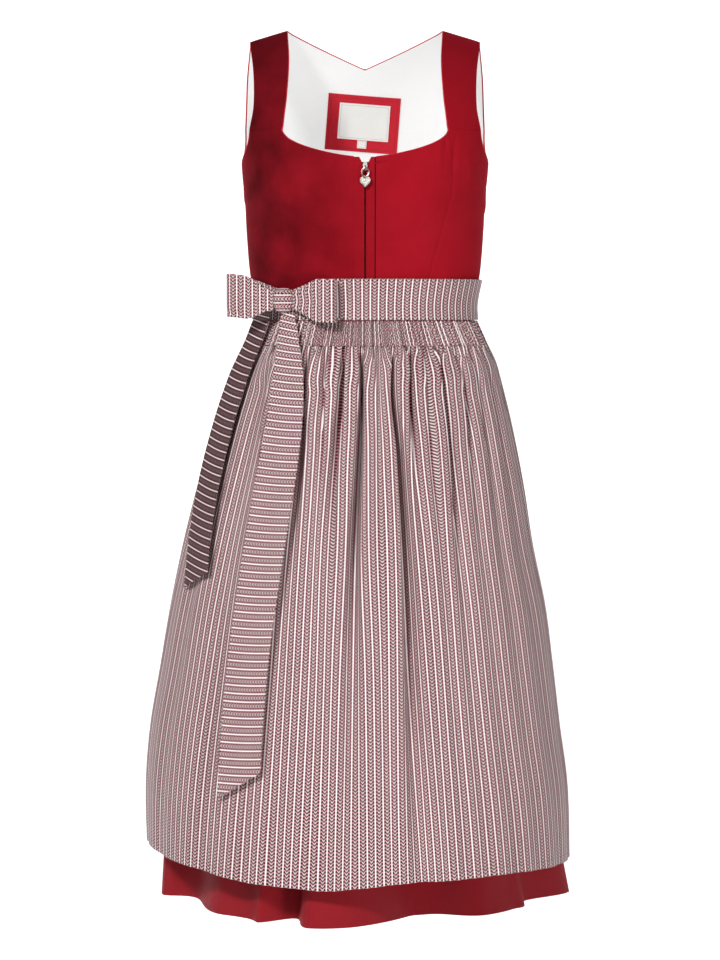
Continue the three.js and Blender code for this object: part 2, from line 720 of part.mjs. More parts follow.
// Colours and finishes.
const velvet = new THREE.MeshStandardMaterial({ name: 'velvet', color: 0x8e1020, roughness: 0.9 });
const skirtCotton = new THREE.MeshStandardMaterial({ name: 'skirt_cotton', color: 0x9c1626, roughness: 0.7 });
const liningCotton = new THREE.MeshStandardMaterial({ name: 'lining_cotton', color: 0xf1efed, roughness: 0.9 });
const apronWeave = new THREE.MeshStandardMaterial({ name: 'apron_weave', color: 0xa07f84, roughness: 0.6 });
const labelCloth = new THREE.MeshStandardMaterial({ name: 'label_cloth', color: 0xe8e6e2, roughness: 0.8 });
const oldSilver = new THREE.MeshStandardMaterial({ name: 'old_silver', color: 0xb9b6ae, roughness: 0.35, metalness: 1 });
const zipTape = new THREE.MeshStandardMaterial({ name: 'zip_tape', color: 0x4a0a12, roughness: 0.8 });

const dress = new THREE.Group();
function add(name, geometry, material) {
  const mesh = new THREE.Mesh(geometry, material);
  mesh.name = name;
  dress.add(mesh);
}

// Each pair of panels is one surface and its mirror image.
function addPair(name, surface, us, vs, inside, outside, material) {
  add(`${name}_left`, wall(surface, us, vs, inside, outside), material);
  const reversed = us.map((u) => 1 - u).reverse();
  add(`${name}_right`, wall(mirrored(surface), reversed, vs, inside, outside), material);
}

const FRONT_ROWS = [0, 0.13, 0.26, 0.39, 0.51, 0.63, 0.74, 0.82, 0.86, 0.91, 0.96, 1];
const STRAP_ROWS = [0, 0.2, 0.4, 0.58, 0.74, 0.88, 1];
const BACK_ROWS = [0, 0.08, 0.2, 0.33, 0.46, 0.5, 0.54, 0.62, 0.7, 0.78, 0.86, 0.94, 1];
const sideColumns = steps(5).map((u) => u * (1 - BACK_SEAM_SHARE));
const centreColumns = steps(5).slice(1).map((u) => 1 - BACK_SEAM_SHARE * (1 - u));
const halfColumns = sideColumns.concat(centreColumns).map((u) => u / 2);
const wholeColumns = halfColumns.concat(halfColumns.slice(0, -1).reverse().map((u) => 1 - u));

addPair('bodice_front', frontPanel(PLACKET_WIDTH), steps(6), FRONT_ROWS, SHELL_INSIDE, SHELL_OUTSIDE, velvet);
addPair('bodice_side', sidePanel, steps(5), FRONT_ROWS, SHELL_INSIDE, SHELL_OUTSIDE, velvet);
addPair('strap', strap, steps(4), STRAP_ROWS, SHELL_INSIDE, SHELL_OUTSIDE, velvet);
addPair('back_side', backSide, steps(5), BACK_ROWS, SHELL_INSIDE, SHELL_OUTSIDE, velvet);
addPair('placket', placket, steps(2), FRONT_ROWS, SHELL_INSIDE, SHELL_OUTSIDE, velvet);
add('back_centre', wall(backCentre, steps(10), BACK_ROWS, SHELL_INSIDE, SHELL_OUTSIDE), velvet);
addPair('lining_front', liningFront, steps(11), FRONT_ROWS, 0, LINING, liningCotton);
addPair('lining_strap', strap, steps(4), STRAP_ROWS, 0, LINING, liningCotton);
add('lining_back', wall(wholeBack, wholeColumns, BACK_ROWS, 0, LINING), liningCotton);

add('zip_chain', wall(zipChain, steps(2), FRONT_ROWS, -0.4, LINING), zipTape);
add('zip_slider', sliderGeometry(), oldSilver);
add('pull_ring', ringGeometry(), oldSilver);
add('heart_charm', heartGeometry(), oldSilver);

const inward = (piece) => [piece.layer - piece.thickness, piece.layer];
add('label_patch', wall(onBackLining(PATCH), steps(6), steps(4), ...inward(PATCH)), skirtCotton);
add('woven_label', wall(onBackLining(LABEL), steps(4), steps(2), ...inward(LABEL)), labelCloth);
add('size_tag', wall(onBackLining(TAG), steps(1), steps(2), ...inward(TAG)), labelCloth);

const seams = SKIRT_FOLDS.hem.flatMap((depth, i) => (depth === 0 ? [i] : []));
const fromTop = (shares) => shares.map((share) => 1 - share).reverse();
const SKIRT_ROWS = fromTop([0, 0.036, 0.08, 0.2, 0.36, 0.55, 0.78, 1]);
['skirt_back_right', 'skirt_front', 'skirt_back_left'].forEach((name, i) => {
  const [first, last] = [seams[i], seams[i + 1]];
  const surface = skirtPanel(first, last);
  add(name, wall(surface, steps((last - first) * 5), SKIRT_ROWS, -SKIRT_CLOTH, 0), skirtCotton);
});

add('waistband', wall(waistband, steps(26), steps(3), BAND_INSIDE, BAND_OUTSIDE), apronWeave);
add('apron_tie', wall(tie, steps(56), steps(2), TIE_INSIDE, TIE_OUTSIDE), apronWeave);
add('apron_smocking', wall(smocking, steps(SMOCKING.gathers * 3), steps(2), -1, 0), apronWeave);
const APRON_ROWS = fromTop([0, 0.06, 0.17, 0.33, 0.5, 0.68, 0.86, 1]);
const apronColumns = steps((APRON_FOLDS.top.length - 1) * 5);
add('apron_skirt', wall(apron, apronColumns, APRON_ROWS, -APRON_CLOTH, 0), apronWeave);

const TIE_CLOTH = TIE_OUTSIDE - TIE_INSIDE;
add('bow_knot', knotGeometry(), apronWeave);
add('bow_loop_left', wall(bowLoop(true, LOOP_TURNS.left, -1), steps(18), steps(3), -TIE_CLOTH, 0), apronWeave);
add('bow_loop_right', wall(bowLoop(false, LOOP_TURNS.right, 6), steps(18), steps(3), -TIE_CLOTH, 0), apronWeave);
add('end_long', wall(hangingEnd(LONG_END, 34), steps(4), steps(18), 0, TIE_CLOTH), apronWeave);
add('end_short', wall(hangingEnd(SHORT_END, 22), steps(4), steps(12), 0, TIE_CLOTH), apronWeave);

export default dress;
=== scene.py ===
# A dirndl with its apron, filled out as it is worn, with no wearer in it.
# +Z is up, the front faces -Y, and the wearer's left is +X. The origin lies between the shoulder straps.
# Sizes are in millimetres, as a dressmaker measures, and every mesh is made in metres.
import math

import bpy
import numpy as np
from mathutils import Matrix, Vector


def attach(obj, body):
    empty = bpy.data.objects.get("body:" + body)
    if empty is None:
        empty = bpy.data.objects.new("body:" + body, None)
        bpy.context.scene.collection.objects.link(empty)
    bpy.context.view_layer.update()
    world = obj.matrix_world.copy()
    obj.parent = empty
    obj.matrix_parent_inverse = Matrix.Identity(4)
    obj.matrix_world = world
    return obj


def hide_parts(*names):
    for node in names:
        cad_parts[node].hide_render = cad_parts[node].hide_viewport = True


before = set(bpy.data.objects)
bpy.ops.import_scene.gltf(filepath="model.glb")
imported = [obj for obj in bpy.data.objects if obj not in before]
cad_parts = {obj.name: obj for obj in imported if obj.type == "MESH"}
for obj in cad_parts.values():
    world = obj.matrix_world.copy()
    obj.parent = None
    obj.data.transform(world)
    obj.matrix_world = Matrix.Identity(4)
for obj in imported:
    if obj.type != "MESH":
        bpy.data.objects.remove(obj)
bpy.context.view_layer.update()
MM = 0.001
BODY = "dress"


# Studio
# A white floor that curves up behind the dress, under wide soft lamps. The dress hangs above the floor
# at the height of the wearer's shoulders, and the camera looks a little down on it.
SHOULDER_HEIGHT = 1.38
CAMERA = {"aside": -0.0063, "away": 3.6, "height": -0.345, "down": 3.456, "lens": 106.65, "film": 36}
SWEEP = {"half": 6.0, "front": -1.8, "back": 6.5, "bend": 1.6, "top": 4.5}
PAPER_GLOW = 0.8
PAPER_TONES = (0.93, 0.93, 0.93, 1), (0.95, 0.95, 0.95, 1)
GLOW_START = (-0.25, 0.05)
ROOM_LIGHT = 0.08
LAMPS = {
    "key": {"at": (-1.6, -3.4, 1.5), "size": 0.6, "watts": 138},
    "front": {"at": (0.7, -4.3, -0.7), "size": 1.8, "watts": 22},
    "right": {"at": (1.9, -3.0, -1.2), "size": 1.2, "watts": 42},
    "top": {"at": (0.1, -0.5, 2.0), "size": 1.0, "watts": 4},
}
LAMP_AIM = (0, 0, -0.5)


def add_object(name, data):
    """A new object at the origin of the scene, which holds the data."""
    made = bpy.data.objects.new(name, data)
    bpy.context.scene.collection.objects.link(made)
    return made


def aimed(place, target):
    """The turn that points a lamp's -Z axis from its place to the target."""
    towards = Vector(target) - Vector(place)
    return towards.to_track_quat("-Z", "Y").to_euler()


def node(tree, kind, inputs=(), **settings):
    """A new shader node. Its inputs are plain values, or sockets that are linked."""
    made = tree.nodes.new("ShaderNode" + kind)
    for name, value in settings.items():
        setattr(made, name, value)
    for name, value in dict(inputs).items():
        if isinstance(value, bpy.types.NodeSocket):
            tree.links.new(value, made.inputs[name])
        else:
            made.inputs[name].default_value = value
    return made


def parts_of(tree, place):
    """The coordinates of a place, as three outputs."""
    return node(tree, "SeparateXYZ", {0: place}).outputs


def object_place(tree):
    """A place on the dress in metres, the same for every piece."""
    return node(tree, "TexCoord").outputs["Object"]


def ranged(tree, value, low, high, top=1.0, kind="LINEAR"):
    """The share of the way from low to high at which a value lies, times the top."""
    given = {"Value": value, "From Min": low, "From Max": high, "To Max": top}
    return node(tree, "MapRange", given, interpolation_type=kind).outputs["Result"]


def blend_of(tree, share, first, second):
    """A colour between two, by a share from 0 to 1."""
    return node(tree, "MixRGB", {"Fac": share, "Color1": first, "Color2": second}).outputs["Color"]


def finish_of(name, **shader):
    """A material with one Principled shader, its plain values set on the shader's own sockets."""
    made = bpy.data.materials.new(name)
    made.use_nodes = True
    principled = made.node_tree.nodes["Principled BSDF"]
    for socket, value in shader.items():
        principled.inputs[socket.replace("_", " ")].default_value = value
    return made, made.node_tree, principled


camera = add_object("camera", bpy.data.cameras.new("camera"))
camera.data.sensor_width = CAMERA["film"]
camera.data.lens = CAMERA["lens"]
camera.location = (CAMERA["aside"], -CAMERA["away"], CAMERA["height"])
camera.rotation_euler = (math.radians(90 - CAMERA["down"]), 0, 0)
bpy.context.scene.camera = camera
bpy.context.scene.view_settings.view_transform = "Standard"

for lamp_name, lamp in LAMPS.items():
    light = bpy.data.lights.new(lamp_name, "AREA")
    light.shape = "DISK"
    light.size = lamp["size"]
    light.energy = lamp["watts"]
    light_object = add_object(lamp_name, light)
    light_object.location = lamp["at"]
    light_object.rotation_euler = aimed(lamp["at"], LAMP_AIM)

world = bpy.data.worlds.new("white_room")
world.use_nodes = True
world.node_tree.nodes["Background"].inputs["Color"].default_value = (1, 1, 1, 1)
world.node_tree.nodes["Background"].inputs["Strength"].default_value = ROOM_LIGHT
bpy.context.scene.world = world

bend = np.linspace(0, math.pi / 2, 25)
bend_y = SWEEP["back"] - SWEEP["bend"] * (1 - np.sin(bend))
bend_z = SWEEP["bend"] * (1 - np.cos(bend))
sweep_y = np.concatenate([[SWEEP["front"]], bend_y, [SWEEP["back"]]])
sweep_z = np.concatenate([[0], bend_z, [SWEEP["top"]]]) - SHOULDER_HEIGHT
sweep_points = [(side * SWEEP["half"], y, z) for y, z in zip(sweep_y, sweep_z) for side in (-1, 1)]
sweep_faces = [(2 * i, 2 * i + 1, 2 * i + 3, 2 * i + 2) for i in range(len(sweep_y) - 1)]
sweep_mesh = bpy.data.meshes.new("floor")
sweep_mesh.from_pydata(sweep_points, [], sweep_faces)
sweep_mesh.shade_smooth()
paper, paper_tree, paper_shader = finish_of("paper", Roughness=0.9, Emission_Strength=PAPER_GLOW)
paper_depth = parts_of(paper_tree, object_place(paper_tree))["Y"]
paper_tree.links.new(ranged(paper_tree, paper_depth, *GLOW_START), paper_shader.inputs["Emission Color"])
paper_grain = node(paper_tree, "TexNoise", {"Scale": 3.0}).outputs["Fac"]
paper_tree.links.new(blend_of(paper_tree, paper_grain, *PAPER_TONES), paper_shader.inputs["Base Color"])
sweep_mesh.materials.append(paper)
add_object("floor", sweep_mesh)


# Lining
# White cotton, cut to the same panels as the velvet and sewn in at the neck and the armholes. It is the
# inside of the bodice, so it has the figure's form: sections round the body, drawn in over the shoulders.
WAIST_SEAM = -339
SEAM_GAP = 0.04
LINING_LAYER = (0, 1)
NECK_POINT = 97
STRAP_END = 143
SHOULDER_SLOPE = 0.3
FRONT_REACH = 150
BACK_REACH = 125
SHOULDER_ROUND = 1.7
TOP_CURVE = 60
SHOULDER_SEAM_START = 0.1
ARMHOLE_BOTTOM = -163
STRAP_SEAM = (-127, -126)
STRAP_FOOT = (100.5, 141.1)
BACK_NECK_DEPTH = -41
BACK_SEAM_SHARE = 0.56
LINING_EDGE = 6.6
CUP = {"across": 78, "height": -205, "depth": 9, "spread_across": 44, "spread_height": 46}
RIGHT_ANGLE = math.pi / 2


def table(columns, rows):
    """A table with named columns, one array for each."""
    return dict(zip(columns.split(), np.array(rows, float).T))


# Sections of the bodice's inside: half the width, the depth before and behind, and how square.
FIGURE = table("z half front back square", [
    (0, 156, 96, 84, 2.6),
    (-60, 156, 98, 90, 2.6),
    (-110, 155, 106, 93, 2.5),
    (-150, 153, 115, 93, 2.4),
    (-180, 151, 117, 91, 2.35),
    (-210, 148, 116, 88, 2.3),
    (-250, 146, 107, 83, 2.25),
    (-300, 142, 96, 77, 2.2),
    (-339, 135, 90, 73, 2.2),
    (-366, 136, 91, 74, 2.2),
])
# The seam over the bust, from the corner of the neckline to the waist.
FRONT_SEAM = table("z x", [
    (-125, 101), (-140, 104), (-170, 106), (-200, 105), (-233, 97), (-264, 89), (-300, 80), (-339, 72),
])
# The back's curved seam, from the neck point to the waist.
BACK_SEAM = table("z x", [(0, 97), (-60, 98), (-120, 92), (-200, 72), (-339, 52)])
# The front neckline, from the front edge to the foot of the strap.
NECKLINE = table("x z", [
    (0, -162), (12.5, -161), (31, -158.5), (55, -153), (74, -146.5), (88, -139.5), (96, -133), (100.5, -127),
])
# The strap's edges, by how far they lie below the shoulder line.
STRAP = table("drop inner outer", [
    (0, 97, 143), (40, 94, 137), (85, 96, 136), (112, 99, 141), (128, 100.5, 143.5),
])
# The back's armhole edge.
BACK_ARMHOLE = table("z x", [(-14, 143), (-54, 147), (-92, 148.5), (-120, 149.5)])


def read(source, name, at):
    """A smooth curve through one column against the first: cubic pieces, whose slope at a row is that
    between its two neighbours."""
    x = next(iter(source.values()))
    y = source[name]
    rising = 1 if x[-1] > x[0] else -1
    row = np.arange(len(x))
    low = np.maximum(row - 1, 0)
    high = np.minimum(row + 1, len(x) - 1)
    slope = (y[high] - y[low]) / (x[high] - x[low])
    i = np.clip(np.searchsorted(rising * x, rising * np.asarray(at, float)) - 1, 0, len(x) - 2)
    width = x[i + 1] - x[i]
    t = np.clip((at - x[i]) / width, 0, 1)
    straight = (1 + 2 * t) * (1 - t) ** 2 * y[i] + t * t * (3 - 2 * t) * y[i + 1]
    return straight + width * (t * (1 - t) ** 2 * slope[i] - t * t * (1 - t) * slope[i + 1])


def mix(a, b, share):
    """The value a share of the way from a to b."""
    return a + (b - a) * share


def smooth(share):
    """An even step from 0 to 1."""
    s = np.clip(share, 0, 1)
    return s * s * (3 - 2 * s)


def grid(columns, rows, start=0.0, end=1.0):
    """Even parameters: u runs along each row from start to end, and v up the rows from 0 to 1."""
    return np.meshgrid(np.linspace(start, end, columns + 1), np.linspace(0, 1, rows + 1))


def shoulder(x):
    """Height of the shoulder line: it slopes evenly to both sides through the neck points."""
    return SHOULDER_SLOPE * (NECK_POINT - np.abs(x))


def drop_of(length):
    """Drop below the shoulder for a length of cloth, s * s / (s + c): level at first, then straight down."""
    return length * length / (length + TOP_CURVE)


def length_of(drop):
    """The length of cloth that reaches a drop, the inverse of drop_of."""
    return (drop + np.sqrt(drop * drop + 4 * drop * TOP_CURVE)) / 2


def figure(angle, z):
    """A point inside the bodice: a rounded-square ring, |x/a|^n + |y/b|^n = 1, pushed out by the cups'
    Gaussians in front. Over the shoulders y is drawn in by (1 - (1 - s)^r)^(1/r), s being the share below."""
    facing = np.cos(angle) > 0
    square = read(FIGURE, "square", z)
    depth = np.where(facing, read(FIGURE, "front", z), read(FIGURE, "back", z))
    across = np.abs(np.sin(angle)) / read(FIGURE, "half", z)
    radius = (across**square + (np.abs(np.cos(angle)) / depth) ** square) ** (-1 / square)
    x = radius * np.sin(angle)
    y = -radius * np.cos(angle)
    aside = (np.abs(x) - CUP["across"]) / CUP["spread_across"]
    above = (z - CUP["height"]) / CUP["spread_height"]
    y = y - np.where(facing, CUP["depth"] * np.exp(-aside * aside - above * above), 0)
    below = np.clip((shoulder(x) - z) / np.where(facing, FRONT_REACH, BACK_REACH), 0, 1)
    drawn = (1 - (1 - below) ** SHOULDER_ROUND) ** (1 / SHOULDER_ROUND)
    return np.stack([x, y * drawn, z + 0 * x], axis=-1)


def angle_at(x, z, on_back=False):
    """The angle round the body where the ring at height z is x across, solved from the ring's equation."""
    square = read(FIGURE, "square", z)
    share = np.clip(np.abs(x) / read(FIGURE, "half", z), 0, 0.9999)
    depth = read(FIGURE, "back" if on_back else "front", z) * (1 - share**square) ** (1 / square)
    angle = np.arctan2(np.abs(x), depth)
    return math.pi - angle if on_back else angle


def panel_height(top, v):
    """Height on a panel that runs from the waist seam up to its top edge."""
    return mix(WAIST_SEAM + SEAM_GAP, top, v)


def front_panel(edge):
    """The front panel from an edge beside the centre to the bust seam, as figure() at each x and z."""
    def surface(u, v):
        z = panel_height(read(NECKLINE, "z", mix(edge, NECKLINE["x"][-1], u)) - SEAM_GAP, v)
        x = mix(edge, read(FRONT_SEAM, "x", z) - SEAM_GAP / 2, u)
        return figure(angle_at(x, z), z)
    return surface


def front_armhole(z):
    """Angle of the armhole's front edge: a quarter ellipse, upright under the strap and level at the side."""
    foot = angle_at(STRAP_FOOT[1], STRAP_SEAM[1])
    share = np.clip((STRAP_SEAM[1] - z) / (STRAP_SEAM[1] - ARMHOLE_BOTTOM), 0, 1)
    return mix(foot, RIGHT_ANGLE, 1 - np.sqrt(1 - share * share))


def back_armhole(z):
    """Angle of the armhole's back edge: the table above the start of its curve, a quarter ellipse below."""
    start = BACK_ARMHOLE["z"][-1]
    upper = angle_at(read(BACK_ARMHOLE, "x", np.maximum(z, start)), z, True)
    share = np.clip((start - z) / (start - ARMHOLE_BOTTOM), 0, 1)
    corner = angle_at(BACK_ARMHOLE["x"][-1], start, True)
    return np.where(z > start, upper, mix(corner, RIGHT_ANGLE, 1 - np.sqrt(1 - share * share)))


# Half of the side seam's gap, as an angle.
side_seam_gap = SEAM_GAP / 2 / FIGURE["half"][0]


def side_panel(u, v):
    """The side panel, from the bust seam to the side seam and armhole, by the angle round the body."""
    z = panel_height(mix(*STRAP_SEAM, u) - SEAM_GAP, v)
    inner = angle_at(read(FRONT_SEAM, "x", z) + SEAM_GAP / 2, z)
    return figure(mix(inner, front_armhole(z) - side_seam_gap, u), z)


def strap_surface(u, v):
    """The strap, from its seam on the front up to the shoulder, where the cloth runs level."""
    foot = shoulder(mix(*STRAP_FOOT, u)) - mix(*STRAP_SEAM, u)
    drop = drop_of(mix(length_of(foot), SHOULDER_SEAM_START, v))
    x = mix(read(STRAP, "inner", drop), read(STRAP, "outer", drop), u)
    z = shoulder(x) - drop
    return figure(angle_at(x, z), z)


def back_angle(u, z):
    """Angle across half the back: from the side or armhole to the curved seam, and on to the centre."""
    seam = angle_at(read(BACK_SEAM, "x", z), z, True)
    side = 1 - BACK_SEAM_SHARE
    outer = mix(back_armhole(z) + side_seam_gap, seam, u / side)
    return np.where(u < side, outer, mix(seam, math.pi, (u - side) / (1 - side)))


def half_back(u, v):
    """Half of the back. A column's top is found in four passes: the shoulder line, or the V of the neck."""
    x = mix(STRAP_END, 0, u)
    for _ in range(4):
        x = figure(back_angle(u, shoulder(x)), shoulder(x))[..., 0]
    base = shoulder(x)
    neck = base - mix(BACK_NECK_DEPTH, 0, np.minimum(1, x / NECK_POINT))
    top = np.where(x < NECK_POINT, length_of(np.maximum(0, neck)), 0)
    length = mix(length_of(base - WAIST_SEAM - SEAM_GAP), np.maximum(top, SHOULDER_SEAM_START), v)
    z = base - drop_of(length)
    return figure(back_angle(u, z), z)


def whole_back(u, v):
    """Both halves of the back as one: u runs over one half and back over the other, mirrored."""
    points = half_back(1 - np.abs(2 * u - 1), v)
    points[..., 0] *= np.where(u > 0.5, -1, 1)
    return points


def lining_front(u, v):
    """The front and side panels of the lining as one piece, split where the velvet's bust seam lies."""
    split = 6 / 11
    front = front_panel(LINING_EDGE)(np.minimum(u / split, 1), v)
    side = side_panel(np.maximum((u - split) / (1 - split), 0), v)
    return np.where((u < split)[..., None], front, side)


def mirrored(points):
    """The same grid for the wearer's other side, with its columns turned round so that it still faces out."""
    return points[:, ::-1] * (-1, 1, 1)


def normals(points):
    """Unit normals of a grid: the cross product of its differences along the rows and up the columns."""
    across = np.cross(np.gradient(points, axis=1), np.gradient(points, axis=0))
    return across / np.maximum(np.linalg.norm(across, axis=-1, keepdims=True), 1e-9)


def creased(points, rows):
    """Soft folds given one by one: each row is a ridge, or a trough below nought, along a straight line from
    (x, z) to (x, z). It is a Gaussian across the line and half a sine wave along it, on the side x faces."""
    height = np.zeros(points.shape[:2])
    for x0, z0, x1, z1, width, rise in rows:
        across, up = points[..., 0] - x0, points[..., 2] - z0
        span = (x1 - x0) ** 2 + (z1 - z0) ** 2
        t = np.clip((across * (x1 - x0) + up * (z1 - z0)) / span, 0, 1)
        away = (across - t * (x1 - x0)) ** 2 + (up - t * (z1 - z0)) ** 2
        height += rise * np.exp(-away / width**2) * np.sin(math.pi * t) ** 0.6
    return points + normals(points) * height[..., None]


def run(points, axis):
    """Length along the rows or columns of a grid, from its first point."""
    step = np.linalg.norm(np.diff(points, axis=axis), axis=-1)
    start = np.zeros_like(np.take(step, [0], axis=axis))
    return np.concatenate([start, np.cumsum(step, axis=axis)], axis=axis)


def laid_flat(points):
    """The cloth before it was sewn: the length along each row from its middle, and up each column."""
    along = run(points, 1)
    return np.stack([along - along[:, -1:] / 2, run(points, 0)], axis=-1)


def mesh_of(name, points, faces, flat=None, inner=None):
    """A smooth mesh from points in millimetres. Its UV map holds the flat cloth in metres. Faces that inner
    marks take the second material."""
    mesh = bpy.data.meshes.new(name)
    mesh.from_pydata((points.reshape(-1, 3) * MM).tolist(), [], faces.tolist())
    mesh.shade_smooth()
    mesh.set_sharp_from_angle(angle=math.radians(62))
    if flat is not None:
        corner = np.empty(len(mesh.loops), np.int32)
        mesh.loops.foreach_get("vertex_index", corner)
        layer = mesh.uv_layers.new(name="flat_cloth")
        layer.uv.foreach_set("vector", (flat.reshape(-1, 2)[corner] * MM).astype(np.float32).ravel())
    if inner is not None:
        mesh.polygons.foreach_set("material_index", inner.astype(np.int32))
    return mesh


def quads_of(number):
    """The faces of a grid of point numbers, seen from the side its normals point to."""
    corners = number[:-1, :-1], number[:-1, 1:], number[1:, 1:], number[1:, :-1]
    return np.stack(corners, axis=-1).reshape(-1, 4)


def cloth(name, points, layer, finishes, flat=None):
    """A piece of cloth on a grid of points. Both faces are the points moved along the normals to the layer's
    inside and outside, and a rim closes them. It replaces the node of its name and rides on the dress."""
    rows, columns = points.shape[:2]
    normal = normals(points)
    inside, outside = layer
    both = np.stack([points + normal * outside, points + normal * inside])
    number = np.arange(2 * rows * columns).reshape(2, rows, columns)
    ring = np.concatenate([
        number[:, 0, :-1], number[:, :-1, -1], number[:, -1, :0:-1], number[:, :0:-1, 0]
    ], axis=1)
    onward = np.roll(ring, -1, axis=1)
    rim = np.stack([onward[0], ring[0], ring[1], onward[1]], axis=-1)
    outer, inner = quads_of(number[0]), quads_of(number[1])[:, ::-1]
    flat = laid_flat(points) if flat is None else flat
    sides = np.concatenate([np.zeros(len(outer) + len(rim)), np.full(len(inner), len(finishes) - 1)])
    mesh = mesh_of(name, both, np.concatenate([outer, rim, inner]), np.stack([flat, flat]), sides)
    for finish in finishes:
        mesh.materials.append(finish)
    piece = add_object(name + "_cloth", mesh)
    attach(piece, BODY)
    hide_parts(name)
    return piece


def noise(tree, place, scale, detail=2.0):
    """Smooth random shading at a scale in parts to the metre."""
    return node(tree, "TexNoise", {"Vector": place, "Scale": scale, "Detail": detail}).outputs["Fac"]


def calc(tree, operation, *values):
    """The result of one sum on numbers or sockets."""
    return node(tree, "Math", dict(enumerate(values)), operation=operation).outputs[0]


def dye(red, green, blue):
    """A cloth colour given from 0 to 255, as the light that it sends back."""
    part = np.array([red, green, blue]) / 255
    return (*np.where(part <= 0.04045, part / 12.92, ((part + 0.055) / 1.055) ** 2.4).tolist(), 1)


def group_of(name, inputs, outputs):
    """A new shader node group with its sockets, each given by its name and kind. Also gives what comes in
    and what goes out."""
    group = bpy.data.node_groups.new(name, "ShaderNodeTree")
    for direction, sockets in (("INPUT", inputs), ("OUTPUT", outputs)):
        for socket, kind in sockets.items():
            group.interface.new_socket(socket, in_out=direction, socket_type="NodeSocket" + kind)
    return group, group.nodes.new("NodeGroupInput").outputs, group.nodes.new("NodeGroupOutput").inputs


def plain_weave():
    """Threads over and under: the product of two sines, one along the cloth and one across it. The slubs are
    smooth noise, where the yarn is uneven."""
    group, given, result = group_of(
        "plain_weave", {"Cloth": "Vector", "Threads": "Float", "Slubs": "Float"},
        {"Height": "Float", "Slub": "Float"},
    )
    apart = parts_of(group, given["Cloth"])
    waves = [calc(group, "SINE", calc(group, "MULTIPLY", apart[axis], given["Threads"])) for axis in "XY"]
    group.links.new(calc(group, "MULTIPLY", *waves), result["Height"])
    group.links.new(noise(group, given["Cloth"], given["Slubs"], 3.0), result["Slub"])
    return group


def flat_place(tree):
    """A place on the flat cloth in metres, from the piece's own UV map."""
    return node(tree, "UVMap", uv_map="flat_cloth").outputs["UV"]


def woven(tree, threads, slubs):
    """The plain weave on the flat cloth: the height of its threads, and where its yarn is uneven."""
    given = {"Cloth": flat_place(tree), "Threads": threads, "Slubs": slubs}
    made = node(tree, "Group", given, node_tree=weave)
    return made.outputs["Height"], made.outputs["Slub"]


def coloured(tree, shader, colour, height, depth, strength=1.0):
    """Gives a shader its colour, and its normal bent by a height of the given depth in metres."""
    bump = node(tree, "Bump", {"Height": height, "Distance": depth, "Strength": strength})
    tree.links.new(colour, shader.inputs["Base Color"])
    tree.links.new(bump.outputs["Normal"], shader.inputs["Normal"])


def plain_cloth(name, light, dark, threads, slubs, depth=0.0001, **shader):
    """A material of plainly woven cloth, whose yarn varies between two colours."""
    made, tree, principled = finish_of(name, **shader)
    height, slub = woven(tree, threads, slubs)
    coloured(tree, principled, blend_of(tree, slub, light, dark), height, depth)
    return made


weave = plain_weave()
# The lining glows white of itself: painted light that keeps the inside of the back evenly bright.
lining_cotton = plain_cloth(
    "lining_cotton", dye(170, 169, 168), dye(160, 159, 158), threads=12000, slubs=260,
    Roughness=0.9, Emission_Color=(1, 1, 1, 1), Emission_Strength=0.56,
)

# Creases from the neckline's corner, over the bust and at the side: x, z, x, z, width and height.
CREASES = {
    "left": [
        (9, -169, 31, -165, 1.7, -2.2), (90, -140, 89, -176, 2.6, 1.0), (98, -134, 97, -156, 2.2, -1.1),
        (110, -130, 106, -184, 3.2, -1.5), (124, -146, 127, -190, 4.5, 1.1),
        (140, -168, 146, -196, 4.0, -1.4), (142, -196, 148, -226, 5.0, 1.6),
        (136, -236, 118, -262, 6.0, -0.9), (58, -236, 78, -262, 7.0, -0.8), (40, -262, 60, -300, 8.0, 0.8),
        (112, -276, 92, -318, 6.0, 0.9), (26, -300, 30, -334, 5.0, -0.7), (128, -290, 118, -330, 5.0, -0.9),
    ],
    "right": [
        (-94, -136, -93, -160, 2.8, -0.8), (-108, -134, -106, -176, 3.4, -0.9),
        (-128, -150, -132, -186, 5.0, 0.9), (-142, -188, -147, -214, 4.5, 1.5),
        (-140, -226, -122, -256, 6.0, -0.9), (-54, -232, -80, -260, 7.0, -0.7),
        (-110, -270, -94, -316, 6.0, 0.9), (-36, -270, -52, -312, 8.0, 0.7),
        (-24, -306, -28, -336, 5.0, -0.6), (-130, -292, -120, -332, 5.0, -0.8),
    ],
}

lining_pieces = {
    "lining_front_left": lining_front(*grid(44, 60)),
    "lining_strap_left": strap_surface(*grid(14, 36)),
}
for name, points in lining_pieces.items():
    other = name.replace("left", "right")
    cloth(name, creased(points, CREASES["left"]), LINING_LAYER, [lining_cotton])
    cloth(other, creased(mirrored(points), CREASES["right"]), LINING_LAYER, [lining_cotton])
cloth("lining_back", whole_back(*grid(100, 80)), LINING_LAYER, [lining_cotton])


# Velvet bodice
# Cotton velvet in deep red, its pile brushed into lighter and darker marks. Two front panels, two sides, two
# straps and a back in three panels are sewn edge to edge, and the velvet turns in a little at each seam.
SHELL_LAYER = (1.7, 3.2)
PLACKET_WIDTH = 12.5
FLAP_SEAM = {"x": (PLACKET_WIDTH - 0.2) * MM, "half": 0.8 * MM}
SEAM_SHARE = 0.0004
SEAM_TURN = {"depth": 0.6, "width": 2.4}


def back_side(u, v):
    """The part of the half back outside the curved seam."""
    return half_back(u * (1 - BACK_SEAM_SHARE - SEAM_SHARE), v)


def back_centre(u, v):
    """The middle of the back, between the two curved seams."""
    points = half_back(1 - np.abs(2 * u - 1) * (BACK_SEAM_SHARE - SEAM_SHARE), v)
    points[..., 0] *= np.where(u > 0.5, -1, 1)
    return points


